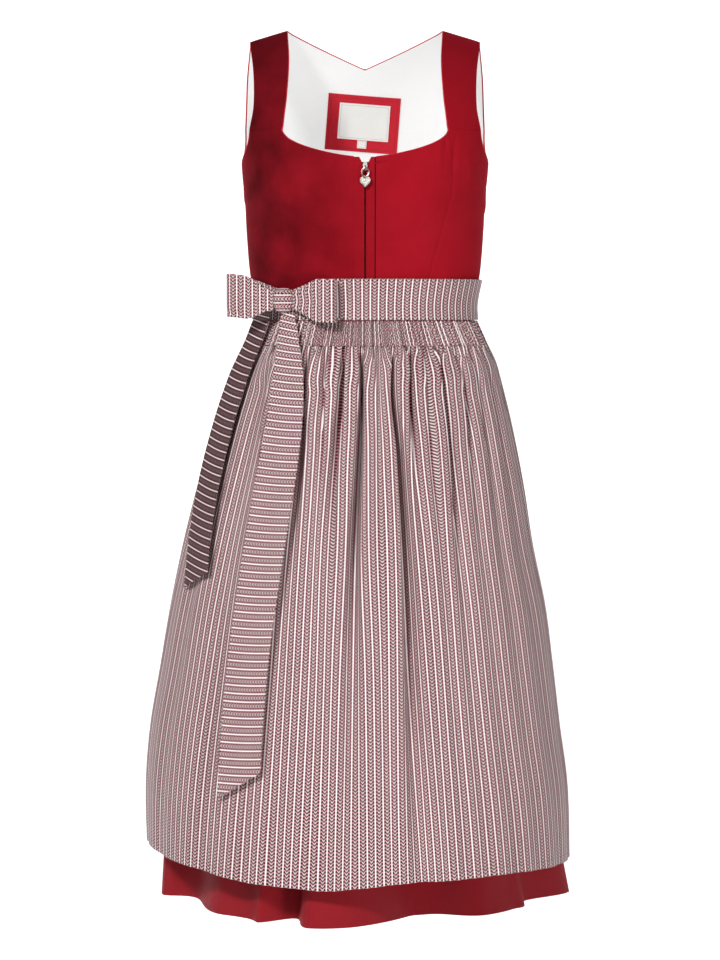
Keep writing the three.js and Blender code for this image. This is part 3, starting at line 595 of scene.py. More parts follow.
def turned_in(points, edges="left right bottom"):
    """The cloth by its seams, drawn in by a Gaussian of the distance from each of the named edges."""
    along, up = run(points, 1), run(points, 0)
    from_edge = {"left": along, "right": along[:, -1:] - along, "bottom": up, "top": up[-1:] - up}
    drawn = sum(np.exp(-((from_edge[edge] / SEAM_TURN["width"]) ** 2)) for edge in edges.split())
    return points - normals(points) * (SEAM_TURN["depth"] * np.minimum(drawn, 1))[..., None]


velvet, velvet_tree, velvet_shader = finish_of(
    "velvet", Roughness=0.9, Specular_IOR_Level=0.08,
    Sheen_Weight=0.35, Sheen_Roughness=0.4, Sheen_Tint=(0.9, 0.05, 0.09, 1),
)
velvet_place = object_place(velvet_tree)
velvet_apart = parts_of(velvet_tree, velvet_place)
velvet_marks = ranged(velvet_tree, noise(velvet_tree, velvet_place, 22, 4.0), 0.3, 0.72, 0.4)
velvet_pile = noise(velvet_tree, velvet_place, 1400, 2.0)
# A dark line along the flap's seam in front: partly where the pile parts, and partly a painted shadow of the
# flap's edge.
velvet_on_seam = calc(velvet_tree, "COMPARE", velvet_apart["X"], FLAP_SEAM["x"], FLAP_SEAM["half"])
velvet_in_front = calc(velvet_tree, "LESS_THAN", velvet_apart["Y"], 0)
velvet_parted_shade = calc(velvet_tree, "MULTIPLY", velvet_on_seam, velvet_in_front)
# Painted shade: the colour is darker towards the wearer's right and up on the straps, where less light falls.
# Each layer is a share and its colour.
velvet_colour = dye(66, 3, 9)
for share, colour in (
    # Painted shade across the bodice, darkest on the wearer's right.
    (ranged(velvet_tree, velvet_apart["X"], -0.16, 0.08, kind="SMOOTHSTEP"), dye(170, 16, 32)),
    (velvet_marks, dye(186, 26, 44)),
    # Painted shade on the straps, darker higher up.
    (ranged(velvet_tree, velvet_apart["Z"], -0.14, -0.02, 0.44), dye(60, 2, 8)),
    (calc(velvet_tree, "MULTIPLY", velvet_pile, 0.45), dye(84, 3, 10)),
    (calc(velvet_tree, "MULTIPLY", velvet_parted_shade, 0.8), dye(40, 1, 5)),
):
    velvet_colour = blend_of(velvet_tree, share, velvet_colour, colour)
coloured(velvet_tree, velvet_shader, velvet_colour, velvet_pile, 0.0006, 0.6)

velvet_pieces = {
    "bodice_front_left": (front_panel(PLACKET_WIDTH)(*grid(60, 96)), "left right bottom"),
    "bodice_side_left": (side_panel(*grid(52, 96)), "left right bottom"),
    "strap_left": (strap_surface(*grid(28, 70)), "top bottom"),
    "back_side_left": (back_side(*grid(48, 110)), "left right bottom"),
}
for name, (points, seams) in velvet_pieces.items():
    other = name.replace("left", "right")
    swapped = " ".join({"left": "right", "right": "left"}.get(edge, edge) for edge in seams.split())
    left_side = creased(turned_in(points, seams), CREASES["left"] if "back" not in name else [])
    right_side = creased(turned_in(mirrored(points), swapped), CREASES["right"] if "back" not in name else [])
    cloth(name, left_side, SHELL_LAYER, [velvet])
    cloth(other, right_side, SHELL_LAYER, [velvet])
cloth("back_centre", turned_in(back_centre(*grid(96, 110))), SHELL_LAYER, [velvet])


# Piping
# A round cord covered in red satin, sewn between velvet and lining along the neck and both armholes.
PIPING = {"radius": 0.9, "sides": 10, "step": 2.2, "layer": 2.3}


def edge_of(points, rows, columns):
    """Points along an edge of a grid, moved out to the piping's layer."""
    return (points + normals(points) * PIPING["layer"])[rows, columns]


def even_path(pieces, step):
    """Points at even steps along joined stretches, each the mean of itself and its neighbours."""
    path = np.concatenate(pieces)
    far = np.concatenate([[0], np.cumsum(np.linalg.norm(np.diff(path, axis=0), axis=1))])
    even = np.linspace(0, far[-1], int(far[-1] / step) + 1)
    path = np.stack([np.interp(even, far, path[:, k]) for k in range(3)], axis=1)
    path[1:-1] = (path[:-2] + 2 * path[1:-1] + path[2:]) / 4
    return path


def round_cord(name, path, radius, sides, finish):
    """A circle carried along a path: its two axes lie square to the path, the first of them as nearly as can
    be straight out from the body. Both ends are closed by rings that shrink to a point."""
    tangent = np.gradient(path, axis=0)
    tangent /= np.linalg.norm(tangent, axis=1, keepdims=True)
    out = path * (1, 1, 0)
    side = np.cross(tangent, out)
    side /= np.linalg.norm(side, axis=1, keepdims=True)
    out = np.cross(side, tangent)
    width = np.full(len(path), radius)
    width[[0, -1]] = radius * 0.02
    turn = np.linspace(0, 2 * math.pi, sides, endpoint=False)
    ring = np.cos(turn)[:, None] * out[:, None] + np.sin(turn)[:, None] * side[:, None]
    points = path[:, None] + ring * width[:, None, None]
    number = np.arange(points.shape[0] * sides).reshape(-1, sides)
    number = np.concatenate([number, number[:, :1]], axis=1)
    far = np.concatenate([[0], np.cumsum(np.linalg.norm(np.diff(path, axis=0), axis=1))])
    flat = np.stack(np.broadcast_arrays(turn * radius, far[:, None]), axis=-1)
    mesh = mesh_of(name, points, quads_of(number)[:, ::-1], flat)
    mesh.materials.append(finish)
    return mesh


satin = plain_cloth(
    "red_satin", dye(222, 30, 50), dye(176, 14, 32), threads=9000, slubs=500,
    Roughness=0.32, Sheen_Weight=0.2, Sheen_Tint=(1, 0.3, 0.3, 1),
)
front_grid, side_grid = (velvet_pieces[name][0] for name in ("bodice_front_left", "bodice_side_left"))
strap_grid, back_grid = (velvet_pieces[name][0] for name in ("strap_left", "back_side_left"))
side_top = side_grid[:, -1, 2] > ARMHOLE_BOTTOM
back_top = back_grid[:, 0, 2] > ARMHOLE_BOTTOM
neck_front = [edge_of(front_grid, -1, slice(None)), edge_of(strap_grid, slice(1, None), 0)]
armhole = even_path([
    edge_of(side_grid, side_top, -1), edge_of(strap_grid, slice(1, None), -1),
    edge_of(back_grid, back_top, 0)[::-1],
], PIPING["step"])
neck_back = edge_of(back_centre(*grid(96, 110)), -1, slice(None))
other_side = (-1, 1, 1)
neck = even_path(
    neck_front + [neck_back[2:-2]] + [stretch[::-1] * other_side for stretch in neck_front[::-1]],
    PIPING["step"],
)
for name, path in (("neck", neck), ("armhole_left", armhole), ("armhole_right", armhole * other_side)):
    cord = add_object(name + "_piping", round_cord(name, path, PIPING["radius"], PIPING["sides"], satin))
    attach(cord, BODY)


# Placket
# A velvet flap beside each row of zip teeth, with its top corner rounded away from the slider.
PLACKET_EDGE = 1.1
PLACKET_CORNER = {"height": 24, "width": 6.4, "round": 2.4}


def placket_surface(u, v):
    """The flap, whose free edge is moved aside by width * rise^2.2 towards its top."""
    top = NECKLINE["z"][1] - SEAM_GAP
    z = panel_height(top, v)
    rise = np.clip(1 - (top - z) / PLACKET_CORNER["height"], 0, 1)
    edge = PLACKET_EDGE + PLACKET_CORNER["width"] * rise ** PLACKET_CORNER["round"]
    return figure(angle_at(mix(edge, PLACKET_WIDTH - SEAM_GAP, u), z), z)


placket_points = turned_in(placket_surface(*grid(16, 120)), "right")
cloth("placket_left", placket_points, SHELL_LAYER, [velvet])
cloth("placket_right", mirrored(placket_points), SHELL_LAYER, [velvet])


# Skirt
# Red cotton with a satin face, pleated into the waist seam all round. Each fold is a valley that deepens
# towards the hem, where the cloth stands out widest.
SKIRT_HEM = -1092
SKIRT_CLOTH = 1.2
RING_SQUARE = 2.2
FOLD_ONSET = 0.09
FOLD_MIDDLE = 0.34
# Sections through the skirt's outermost cloth, with the wearer's left and right.
SKIRT = table("z left right front back", [
    (-339, 137.3, 137.3, 92.3, 75.3),
    (-360, 137.6, 137.6, 92.6, 76),
    (-391, 147, 146, 94, 88),
    (-434, 161, 166, 99, 106),
    (-491, 174, 186, 112, 126),
    (-567, 188, 201, 128, 146),
    (-643, 198, 214, 142, 161),
    (-720, 209, 226, 153, 174),
    (-796, 220, 237, 166, 184),
    (-872, 230, 247, 178, 193),
    (-948, 240, 252, 191, 201),
    (-1024, 250, 256, 203, 207),
    (-1092, 263, 260, 213, 212),
])
# The folds, by angle from the front at the top and at the hem: half width in degrees, depth at the waist,
# halfway and at the hem, and how far the valley's floor leans. A row with no depth is a seam.
SKIRT_FOLDS = table("top bottom half waist middle hem lean", [
    (-180, -180, 0.4, 0, 0, 0, 0),
    (-166, -167, 6.5, 1.2, 16, 30, 2),
    (-151, -151, 6, 1.2, 18, 26, -2),
    (-136, -135, 7, 1.2, 14, 34, 2),
    (-121, -121, 6, 1.2, 17, 24, 1),
    (-106, -107, 6, 1.2, 12, 30, -2),
    (-92, -92, 0.4, 0, 0, 0, 0),
    (-73, -75, 14.4, 0.6, 8, 37.5, -8.1),
    (-52, -55, 27.4, 0.6, 5, 38.2, 7.7),
    (-29, -29.7, 11.5, 0.6, 8, 52, 0.3),
    (0, -0.3, 15.7, 0.6, 4, 9.8, -0.6),
    (19, 20.8, 27.7, 0.6, 8, 73.4, 5.2),
    (38, 39.8, 19.5, 0.6, 5, 40, 0.5),
    (57, 60.1, 21.8, 0.6, 6, 46.4, 2.1),
    (76, 78.2, 15.3, 0.6, 8, 50.8, -0.5),
    (92, 92, 0.4, 0, 0, 0, 0),
    (106, 108, 6.5, 1.2, 15, 32, 2),
    (121, 122, 6, 1.2, 18, 25, -1),
    (136, 136, 6.5, 1.2, 13, 33, -2),
    (151, 150, 6, 1.2, 17, 27, 2),
    (166, 166, 6.5, 1.2, 15, 31, -2),
    (180, 180, 0.4, 0, 0, 0, 0),
])


def bell(share):
    """A valley's section, cos^2 of a quarter turn for each half width."""
    return np.where(np.abs(share) < 1, np.cos(math.pi * share / 2) ** 2, 0)


def skirt_paths(share):
    """Where the skirt's folds run: even from top to hem, their depth setting in below the gathers and
    changing evenly to its value at the hem."""
    rows = {name: column[:, None, None] for name, column in SKIRT_FOLDS.items()}
    middle, hem = rows["middle"], rows["hem"]
    upper = mix(middle * 0.8, middle, share / FOLD_MIDDLE)
    lower = mix(middle, hem, smooth((share - FOLD_MIDDLE) / (1 - FOLD_MIDDLE)))
    body = np.where(share < FOLD_MIDDLE, upper, lower)
    return {
        "centre": mix(rows["top"], rows["bottom"], share),
        "half": rows["half"] + 0 * share,
        "depth": mix(rows["waist"], body, smooth(share / FOLD_ONSET)),
        "lean": rows["lean"] * share,
    }


def column_angle(paths, column):
    """Angle of a column: whole numbers are the floors of the folds, and the stretches between are in fifths,
    which end half way up a valley's side, at its edge, and so again for the next valley."""
    i = np.clip(np.floor(column).astype(int), 0, len(paths["centre"]) - 2)[None]
    start, end = (np.take_along_axis(paths["centre"], i + k, 0)[0] for k in (0, 1))
    first, second = (np.take_along_axis(paths["half"], i + k, 0)[0] for k in (0, 1))
    first, second = (np.minimum(half, 0.48 * (end - start)) for half in (first, second))
    marks = np.stack([start, start + first / 2, start + first, end - second, end - second / 2, end])
    place = (column - i[0]) * 5
    k = np.clip(np.floor(place).astype(int), 0, 4)[None]
    low, high = (np.take_along_axis(marks, k + step, 0)[0] for step in (0, 1))
    return mix(low, high, place - k[0])


def ring_radius(sections, z, angle):
    """Radius of a section: a rounded-square ring with its own half width for each side."""
    side = np.where(np.sin(angle) > 0, read(sections, "left", z), read(sections, "right", z))
    depth = read(sections, "front", z)
    if "back" in sections:
        depth = np.where(np.cos(angle) > 0, depth, read(sections, "back", z))
    across, along = np.abs(np.sin(angle)) / side, np.abs(np.cos(angle)) / depth
    return (across**RING_SQUARE + along**RING_SQUARE) ** (-1 / RING_SQUARE)


def folded(sections, paths, column, z):
    """Folded cloth: the ring at that height, pressed in and pushed round by each fold near it. Also gives
    how deep in a valley each point lies, from 0 to 1."""
    degrees = column_angle(paths, column)
    pressed = bell((degrees - paths["centre"]) / paths["half"])
    radius = ring_radius(sections, z, np.radians(degrees)) - (pressed * paths["depth"]).sum(axis=0)
    angle = np.radians(degrees + (pressed * paths["lean"]).sum(axis=0))
    return np.stack([radius * np.sin(angle), -radius * np.cos(angle), z], axis=-1), pressed.max(axis=0)


def gathered_flat(points, valley, per_fold, onset, cut):
    """The flat cloth of a gathered panel, cut to the given width for each fold. A fold holds the same cloth
    in every row: its crests show it at true width, and its valleys take up what is left over, or the whole
    fold where the gathers press it (an onset of 0)."""
    step = np.linalg.norm(np.diff(points, axis=1), axis=-1)
    rows = step.shape[0]
    folds = step.reshape(rows, -1, per_fold)
    hidden = ((valley[:, 1:] + valley[:, :-1]) / 2).reshape(folds.shape) + 0.02
    hidden = mix(np.ones_like(hidden), hidden, onset[:, :1, None])
    if cut is None:
        cut = folds.sum(axis=2)[: rows // 2].mean(axis=0)
    spare = (cut - folds.sum(axis=2)) / (folds * hidden).sum(axis=2)
    flat = (folds * np.maximum(0.15, 1 + spare[..., None] * hidden)).reshape(rows, -1)
    across = np.concatenate([np.zeros((rows, 1)), np.cumsum(flat, axis=1)], axis=1)
    across *= across[0, -1] / across[:, -1:]
    up = np.broadcast_to(run(points, 0).mean(axis=1, keepdims=True), across.shape)
    return np.stack([across, up], axis=-1)


def skirt_points(first, last, per_fold, rows):
    """One skirt panel between two seams of the fold table, from the hem up to the waist."""
    inset = 0.02
    column, v = grid((last - first) * per_fold, rows, first + inset, last - inset)
    z = mix(WAIST_SEAM - SEAM_GAP, SKIRT_HEM, 1 - v)
    return folded(SKIRT, skirt_paths(1 - v), column, z)[0]


skirt_cotton = plain_cloth(
    "skirt_cotton", dye(156, 13, 28), dye(140, 10, 24), threads=9000, slubs=300,
    Roughness=0.6, Specular_IOR_Level=0.25, Sheen_Weight=0.1, Sheen_Tint=(1, 0.15, 0.2, 1),
)
skirt_seams = np.flatnonzero(SKIRT_FOLDS["hem"] == 0)
for i, name in enumerate(("skirt_back_right", "skirt_front", "skirt_back_left")):
    points = skirt_points(skirt_seams[i], skirt_seams[i + 1], 16, 130)
    cloth(
        name, points, (-SKIRT_CLOTH, 0), [skirt_cotton],
    )


# Waistband and tie
# The apron's own cloth cut across its stripes, so that they stand upright on the band. The waistband holds
# the apron's heading, and the tie goes once round over it, from the knot and back to it.
BAND_TOP = -308
BAND_BOTTOM = -360
BAND_LAYER = (4.2, 5.4)
TIE_LAYER = (6.4, 7.6)
BAND_SIDE = 96
KNOT_ANGLE = -54
TIE_CLEAR = 9
TIE_TAPER = 34
TIE_PINCH = 0.46
WHITE_AT = -2.8
BAND_DIP = {"at": -53, "reach": 14, "depth": 14}
# The stripes in metres of cloth: the repeat, how far the chevrons and the red lines reach from the middle of
# the field, and the chevrons' pitch. Then their slant, and the shares of a pitch left pale and rose.
STRIPE = {"repeat": 0.0099, "field": 0.0018, "line": 0.0041, "pitch": 0.0041, "slant": 1.0}
RIB_START = 0.47
DOT_START = 0.4
STITCH = {"length": 0.0026, "gap": 0.3, "half": 0.0003}
APRON_HEM_STITCH = 0.0095
FACE_YARNS = {
    "White": dye(246, 243, 241), "Red": dye(50, 0, 10), "Rose": dye(214, 138, 150),
    "Pale": dye(226, 203, 199), "Grey": dye(76, 56, 60),
}
BACK_YARNS = {
    "White": dye(236, 226, 222), "Red": dye(58, 4, 16), "Rose": dye(112, 66, 74),
    "Pale": dye(134, 104, 106), "Grey": dye(56, 34, 38),
}


def repeated(tree, value, pitch):
    """The share of a pitch at which a value lies, starting again from 0 at each."""
    return calc(tree, "FRACT", calc(tree, "DIVIDE", value, pitch))


def striped_weave():
    """A striped herringbone. Across the cloth each repeat has a white stripe, a dotted red line, a field of
    grey chevrons and a dotted red line again; d is the distance from the middle of the chevrons. A chevron
    climbs evenly with d, and the dots of the red lines are its outer ends."""
    group, given, result = group_of(
        "striped_weave", {"Cloth": "Vector", **dict.fromkeys(FACE_YARNS, "Color")},
        {"Color": "Color", "Height": "Float"},
    )
    apart = parts_of(group, given["Cloth"])
    phase = repeated(group, apart["X"], STRIPE["repeat"])
    aside = calc(group, "ABSOLUTE", calc(group, "SUBTRACT", phase, 0.5))
    d = calc(group, "MULTIPLY", aside, STRIPE["repeat"])
    climb = calc(group, "SUBTRACT", apart["Y"], calc(group, "MULTIPLY", d, STRIPE["slant"]))
    chevron = calc(group, "GREATER_THAN", repeated(group, climb, STRIPE["pitch"]), RIB_START)
    line_rise = (STRIPE["field"] + STRIPE["line"]) / 2 * STRIPE["slant"]
    end = repeated(group, calc(group, "SUBTRACT", apart["Y"], line_rise), STRIPE["pitch"])
    dot = calc(group, "GREATER_THAN", end, DOT_START)
    outside_field = calc(group, "GREATER_THAN", d, STRIPE["field"])
    outside_line = calc(group, "GREATER_THAN", d, STRIPE["line"])
    field = blend_of(group, chevron, given["Pale"], given["Grey"])
    line = blend_of(group, dot, given["Rose"], given["Red"])
    colour = blend_of(group, outside_line, blend_of(group, outside_field, field, line), given["White"])
    group.links.new(colour, result["Color"])
    group.links.new(calc(group, "ADD", chevron, outside_line), result["Height"])
    return group


def stitches():
    """A line of thread: a mask at one distance from an edge, broken into even stitches along it."""
    group, given, result = group_of(
        "stitches", {"Distance": "Float", "Along": "Float", "Inset": "Float"}, {"Thread": "Float"}
    )
    off = calc(group, "ABSOLUTE", calc(group, "SUBTRACT", given["Distance"], given["Inset"]))
    line = calc(group, "LESS_THAN", off, STITCH["half"])
    stitch = calc(group, "GREATER_THAN", repeated(group, given["Along"], STITCH["length"]), STITCH["gap"])
    group.links.new(calc(group, "MULTIPLY", line, stitch), result["Thread"])
    return group


def sewn(tree, distance, along, inset):
    """The mask of one line of stitches in a material."""
    given = {"Distance": distance, "Along": along, "Inset": inset}
    return node(tree, "Group", given, node_tree=stitch_group).outputs["Thread"]


def striped_cloth(name, yarns, hem=None):
    """The striped cloth with its five yarns, a little soiled by the grey one, and a line of stitches above
    its hem where it has one."""
    made, tree, shader = finish_of(name, Roughness=0.55, Specular_IOR_Level=0.3)
    place = flat_place(tree)
    stripes = node(tree, "Group", {"Cloth": place, **yarns}, node_tree=striped)
    colour, height = stripes.outputs["Color"], stripes.outputs["Height"]
    if hem:
        apart = parts_of(tree, place)
        thread = sewn(tree, apart["Y"], apart["X"], hem)
        colour = blend_of(tree, calc(tree, "MULTIPLY", thread, 0.55), colour, yarns["Grey"])
        height = calc(tree, "SUBTRACT", height, calc(tree, "MULTIPLY", thread, 3))
    soiled = calc(tree, "MULTIPLY", noise(tree, place, 40, 3.0), 0.16)
    coloured(tree, shader, blend_of(tree, soiled, colour, yarns["Grey"]), height, 0.0001)
    return made


stitch_group = stitches()
striped = striped_weave()
apron_face = striped_cloth("apron_face", FACE_YARNS)
apron_panel = striped_cloth("apron_panel", FACE_YARNS, APRON_HEM_STITCH)
apron_back = striped_cloth("apron_back", BACK_YARNS)


def along_band(points, lengthwise, middle=None):
    """The flat band of a tie's piece. Its stripes run across its width, so the first coordinate is the
    length along it, the same right across, and the second is the width. A white stripe lies at the middle,
    given as x on the front."""
    along = run(points, lengthwise).mean(axis=1 - lengthwise, keepdims=True)
    if middle is not None:
        row = points[0]
        along = along - along[:, np.argmin(np.abs(row[:, 0] - middle) + 1000.0 * (row[:, 1] > 0))]
    across = run(points, 1 - lengthwise)
    return np.stack(np.broadcast_arrays(along, across - across.mean()), axis=-1)


def band_surface(u, v):
    """The waistband, by even angles round the front of the figure. The knot pulls its top edge down in a
    Gaussian."""
    degrees = mix(-BAND_SIDE, BAND_SIDE, u)
    dip = BAND_DIP["depth"] * np.exp(-(((degrees - BAND_DIP["at"]) / BAND_DIP["reach"]) ** 2))
    return figure(np.radians(degrees), mix(BAND_BOTTOM, BAND_TOP - dip, v))


def tie_surface(u, v):
    """The tie, all round but for the knot, pinched to a narrower band as it nears it."""
    start, end = KNOT_ANGLE + TIE_CLEAR, KNOT_ANGLE + 360 - TIE_CLEAR
    angle = mix(start, end, u)
    nearest = np.minimum(angle - start, end - angle)
    height = (BAND_TOP - BAND_BOTTOM) * mix(TIE_PINCH, 1, smooth(nearest / TIE_TAPER))
    return figure(np.radians(angle), (BAND_TOP + BAND_BOTTOM) / 2 + (v - 0.5) * height)


band_points = band_surface(*grid(150, 16))
tie_points = tie_surface(*grid(320, 16))
for name, points, layer in (("waistband", band_points, BAND_LAYER), ("apron_tie", tie_points, TIE_LAYER)):
    cloth(name, points, layer, [apron_face], along_band(points, 1, WHITE_AT))


# Apron
# Striped herringbone cloth, drawn up below the band by rows of smocking and falling in soft folds from there.
SMOCKING_BOTTOM = -391
APRON_CLOTH = 1.1
SMOCKING = {
    "start": -80, "end": 91, "gathers": 62, "depth": 4.2, "narrow": 0.27, "pull": 0.16, "dent": 0.6,
    "stitch_rows": 7, "wander": 0.5,
}
APRON = table("z left right front", [
    (-360, 142, 142, 97),
    (-391, 156, 153, 109),
    (-410, 165, 162, 118),
    (-434, 172, 171, 127),
    (-491, 186, 190, 142),
    (-567, 201, 212, 158),
    (-643, 213, 231, 173),
    (-720, 229, 247, 187),
    (-796, 239, 260, 199),
    (-872, 248, 273, 210),
    (-948, 258, 279, 221),
    (-1046, 261, 277, 235),
])
# Height of the hem, by the angle from the front.
APRON_HEM = table("angle z", [
    (-90, -1017), (-84, -1018), (-76, -1018), (-65, -1022), (-50, -1028), (-36, -1036), (-20, -1040),
    (-12, -1042), (0, -1038), (12, -1033), (28, -1031.5), (44, -1030.5), (60, -1034), (74, -1037),
    (84, -1040), (89, -1039), (92, -1030),
])
# The apron's folds from its right edge to its left, each at six stations down its length: its angles from
# the front, its half widths in degrees and its depths. They start narrow below the smocking and open out.
APRON_STATIONS = (0, 0.09, 0.2, 0.38, 0.62, 1)
APRON_FOLDS = [
    ((-80, -83, -85, -88, -90, -90), (0.4,) * 6, (0,) * 6),
    ((-74, -76, -78, -79, -80, -81), (1.6, 2.5, 3.0, 3.5, 3.5, 3.5), (3, 4, 5, 4, 3, 2)),
    ((-64, -65, -66, -67, -68, -68), (1.8, 3.0, 4.0, 5.0, 5.0, 5.0), (4, 8, 9, 6, 4, 2)),
    ((-54, -53, -52, -51, -50, -50), (1.8, 3.0, 4.5, 6.0, 6.0, 6.0), (5, 12, 14, 9, 5, 3)),
    ((-44, -43, -42, -40, -38, -38), (1.6, 2.5, 3.5, 4.5, 4.5, 4.5), (6, 11, 9, 5, 3, 1.5)),
    ((-34, -33.2, -31, -30, -29, -28), (1.6, 2.4, 3.5, 4.5, 4.5, 4.5), (8, 15, 9, 4, 2.5, 1.5)),
    ((-24, -23, -21, -20, -19, -19), (1.4, 2.0, 3.0, 4.0, 4.5, 4.5), (7, 9, 4, 2, 1.5, 1)),
    ((-13.4, -13.2, -14.4, -14.3, -13.5, -13), (1.5, 2.1, 2.8, 3.5, 4.0, 4.0), (11, 20, 15, 4, 1.5, 1)),
    ((-2.3, -2.0, -2.8, -4.5, -4.6, -4.5), (1.3, 1.7, 2.4, 3.2, 4.2, 5.0), (14, 24, 24, 23, 10, 3)),
    ((7.5, 7.5, 7.0, 7.0, 7.0, 7.0), (1.4, 1.8, 2.5, 3.5, 3.6, 3.6), (7, 4, 3, 2, 2, 2)),
    ((18.2, 15.2, 17.0, 17.4, 16.7, 17.1), (1.4, 1.9, 2.7, 3.4, 3.9, 5.5), (12, 20, 24, 27, 22, 5)),
    ((28.4, 24.8, 23.5, 24, 24.5, 25), (1.3, 1.8, 2.2, 3.0, 3.4, 3.6), (12, 21, 9, 2, 1, 0.5)),
    ((36, 33.5, 31.5, 31, 30.5, 31), (1.3, 1.8, 2.5, 3.0, 3.4, 3.8), (6, 5, 4, 3, 2.5, 2)),
    ((45, 41.9, 40.8, 38.5, 37, 37.5), (1.5, 2.0, 2.6, 3.3, 4.0, 4.5), (12, 22, 21, 9, 3, 2)),
    ((54, 52.7, 50, 47.5, 46.5, 47.5), (1.5, 2.0, 2.8, 3.6, 4.0, 4.0), (10, 17, 8, 3, 2, 2)),
    ((63, 61, 59, 57, 56, 57), (1.6, 2.5, 3.5, 4.0, 4.4, 5.0), (5, 9, 7, 4, 2.5, 2)),
    ((72, 70, 68, 67, 67, 68), (1.6, 2.5, 3.5, 4.2, 4.5, 4.5), (4, 7, 6, 4, 3, 2)),
    ((82, 81, 80, 80, 81, 81), (1.6, 2.5, 3.5, 4.0, 4.0, 4.0), (3, 4, 5, 5, 4, 4)),
    ((91, 91, 91.5, 92, 92, 92), (0.4,) * 6, (0,) * 6),
]
GATHER_REACH = 0.045


def gathers_at(place):
    """The gathers, one at each whole number: a narrow Gaussian valley, deeper at some than at others."""
    number = np.round(place)
    valley = np.exp(-(((place - number) / SMOCKING["narrow"]) ** 2))
    return valley, SMOCKING["depth"] * (1 + 0.3 * np.sin(number * 3.7)) * valley


def apron_paths(share):
    """Where the apron's folds run: a smooth curve through the stations for each fold's angle, half width and
    depth. Right below the smocking no fold is deeper than its gathers."""
    angles, halves, depths = (
        np.stack([read({"share": np.array(APRON_STATIONS), "row": np.array(fold[k], float)}, "row", share)
                  for fold in APRON_FOLDS])
        for k in range(3)
    )
    depths = np.minimum(depths, mix(SMOCKING["depth"], depths, smooth(share / GATHER_REACH)))
    return {"centre": angles, "half": halves, "depth": depths, "lean": 0 * angles}


def apron_points(per_fold, rows):
    """The apron below its smocking, down to the height of its hem at each angle. The smocking's fine gathers
    run out into the folds."""
    last = len(APRON_FOLDS) - 1
    column, v = grid(last * per_fold, rows, 0, last)
    share = (1 - v) ** 1.25
    hem_angles = column_angle(apron_paths(np.ones_like(share)), column)
    hem = read(APRON_HEM, "z", hem_angles)
    paths = apron_paths(share)
    points, valley = folded(APRON, paths, column, mix(SMOCKING_BOTTOM - SEAM_GAP, hem, share))
    degrees = column_angle(paths, column)
    place = (degrees - SMOCKING["start"]) / (SMOCKING["end"] - SMOCKING["start"])
    gather = gathers_at(place * SMOCKING["gathers"])[1]
    points -= normals(points) * (gather * (1 - smooth(share / GATHER_REACH)))[..., None]
    return points, gathered_flat(points, valley, per_fold, smooth(share / FOLD_ONSET), None)


def smocking_points(per_gather, rows):
    """The smocked heading: the apron's ring, with a narrow Gaussian valley at each gather. The stitching
    pulls the valleys a little aside, to the left and right in turn from row to row, and dents the cloth."""
    gathers = SMOCKING["gathers"]
    place, v = grid(gathers * per_gather, rows, 0, gathers)
    z = mix(SMOCKING_BOTTOM + SEAM_GAP, BAND_BOTTOM - 0.6, v)
    stitch = math.pi * (SMOCKING["stitch_rows"] * v + 0.5)
    number = np.round(place)
    uneven = np.sin(number * 2.4) + 0.6 * np.sin(number * 5.1 + 1)
    pulled = SMOCKING["pull"] * (np.cos(stitch + math.pi * number) + 0.5 * uneven * smooth(v / 0.2))
    ends = (number > 0) & (number < gathers)
    valley, depth = gathers_at(place)
    depth = depth + SMOCKING["dent"] * np.cos(stitch) ** 4
    moved = place + np.where(ends, pulled * (1 - 2 * np.abs(place - number)), 0)
    angle = np.radians(mix(SMOCKING["start"], SMOCKING["end"], moved / gathers))
    radius = ring_radius(APRON, z, angle) - depth
    points = np.stack([radius * np.sin(angle), -radius * np.cos(angle), z], axis=-1)
    return points, valley


apron_grid, apron_flat = apron_points(24, 112)
cloth(
    "apron_skirt", apron_grid, (-APRON_CLOTH, 0), [apron_panel, apron_back],
    apron_flat,
)
smocking_grid, smocking_valley = smocking_points(12, 36)
smocking_flat = gathered_flat(
    smocking_grid, smocking_valley, 12, np.ones_like(smocking_valley),
    np.ptp(apron_flat[..., 0]) / SMOCKING["gathers"],
)
wander = np.sin(2 * math.pi * 6 * grid(SMOCKING["gathers"] * 12, 36)[1] + smocking_flat[..., 0] * 0.23)
smocking_flat[..., 0] += SMOCKING["wander"] * wander
smocking_flat[..., 1] += apron_flat[..., 1].max()
cloth(
    "apron_smocking", smocking_grid, (-1, 0), [apron_face, apron_back],
    smocking_flat,
)


# Bow
# The tie's own ends, knotted on the wearer's right into two loops, with two long ends that hang over the
# apron.
KNOT = {"x": -101, "y": -87, "z": -335, "width": 25, "depth": 22, "height": 30, "roundness": 0.7}
LOOP = {"length": 58, "belly": 11, "rest": 3.5, "swell": 0.86, "neck": 24, "tall": 53}
LOOP_TURNS = {"left": -25, "right": 7}
LOOP_RISES = {"left": -1, "right": 6}
TIE_CLOTH = 1.2
LONG_END = table("z x width turn off", [
    (-350.4, -95, 18, -24, 11),
    (-385, -94, 28, -22, 12),
    (-430, -94, 41, -24, 11),
    (-490, -99, 50, -26, 12),
    (-560, -110, 55, -26, 12),
    (-660, -126, 56, -26, 12),
    (-760, -140, 56, -26, 12),
    (-860, -149, 56, -25, 11),
    (-937, -153, 56, -22, 9),
])
SHORT_END = table("z x width turn off", [
    (-340, -119.4, 14, -30, 21.5),
    (-354, -127, 24, -40, 20),
    (-385, -138, 34, -50, 12),
    (-430, -157, 46, -57, 13),
    (-490, -176, 52, -59, 13),
    (-560, -193, 54, -59, 13),
    (-630, -204, 55, -59, 12),
    (-690, -209, 55, -58, 10),
])
SLANTS = {"end_long": 34, "end_short": 22}
# How far the stripes tilt at the knot, and the length over which they come level.
END_TILTS = {"end_long": 0.26, "end_short": -0.04}
TILT_REACH = 280


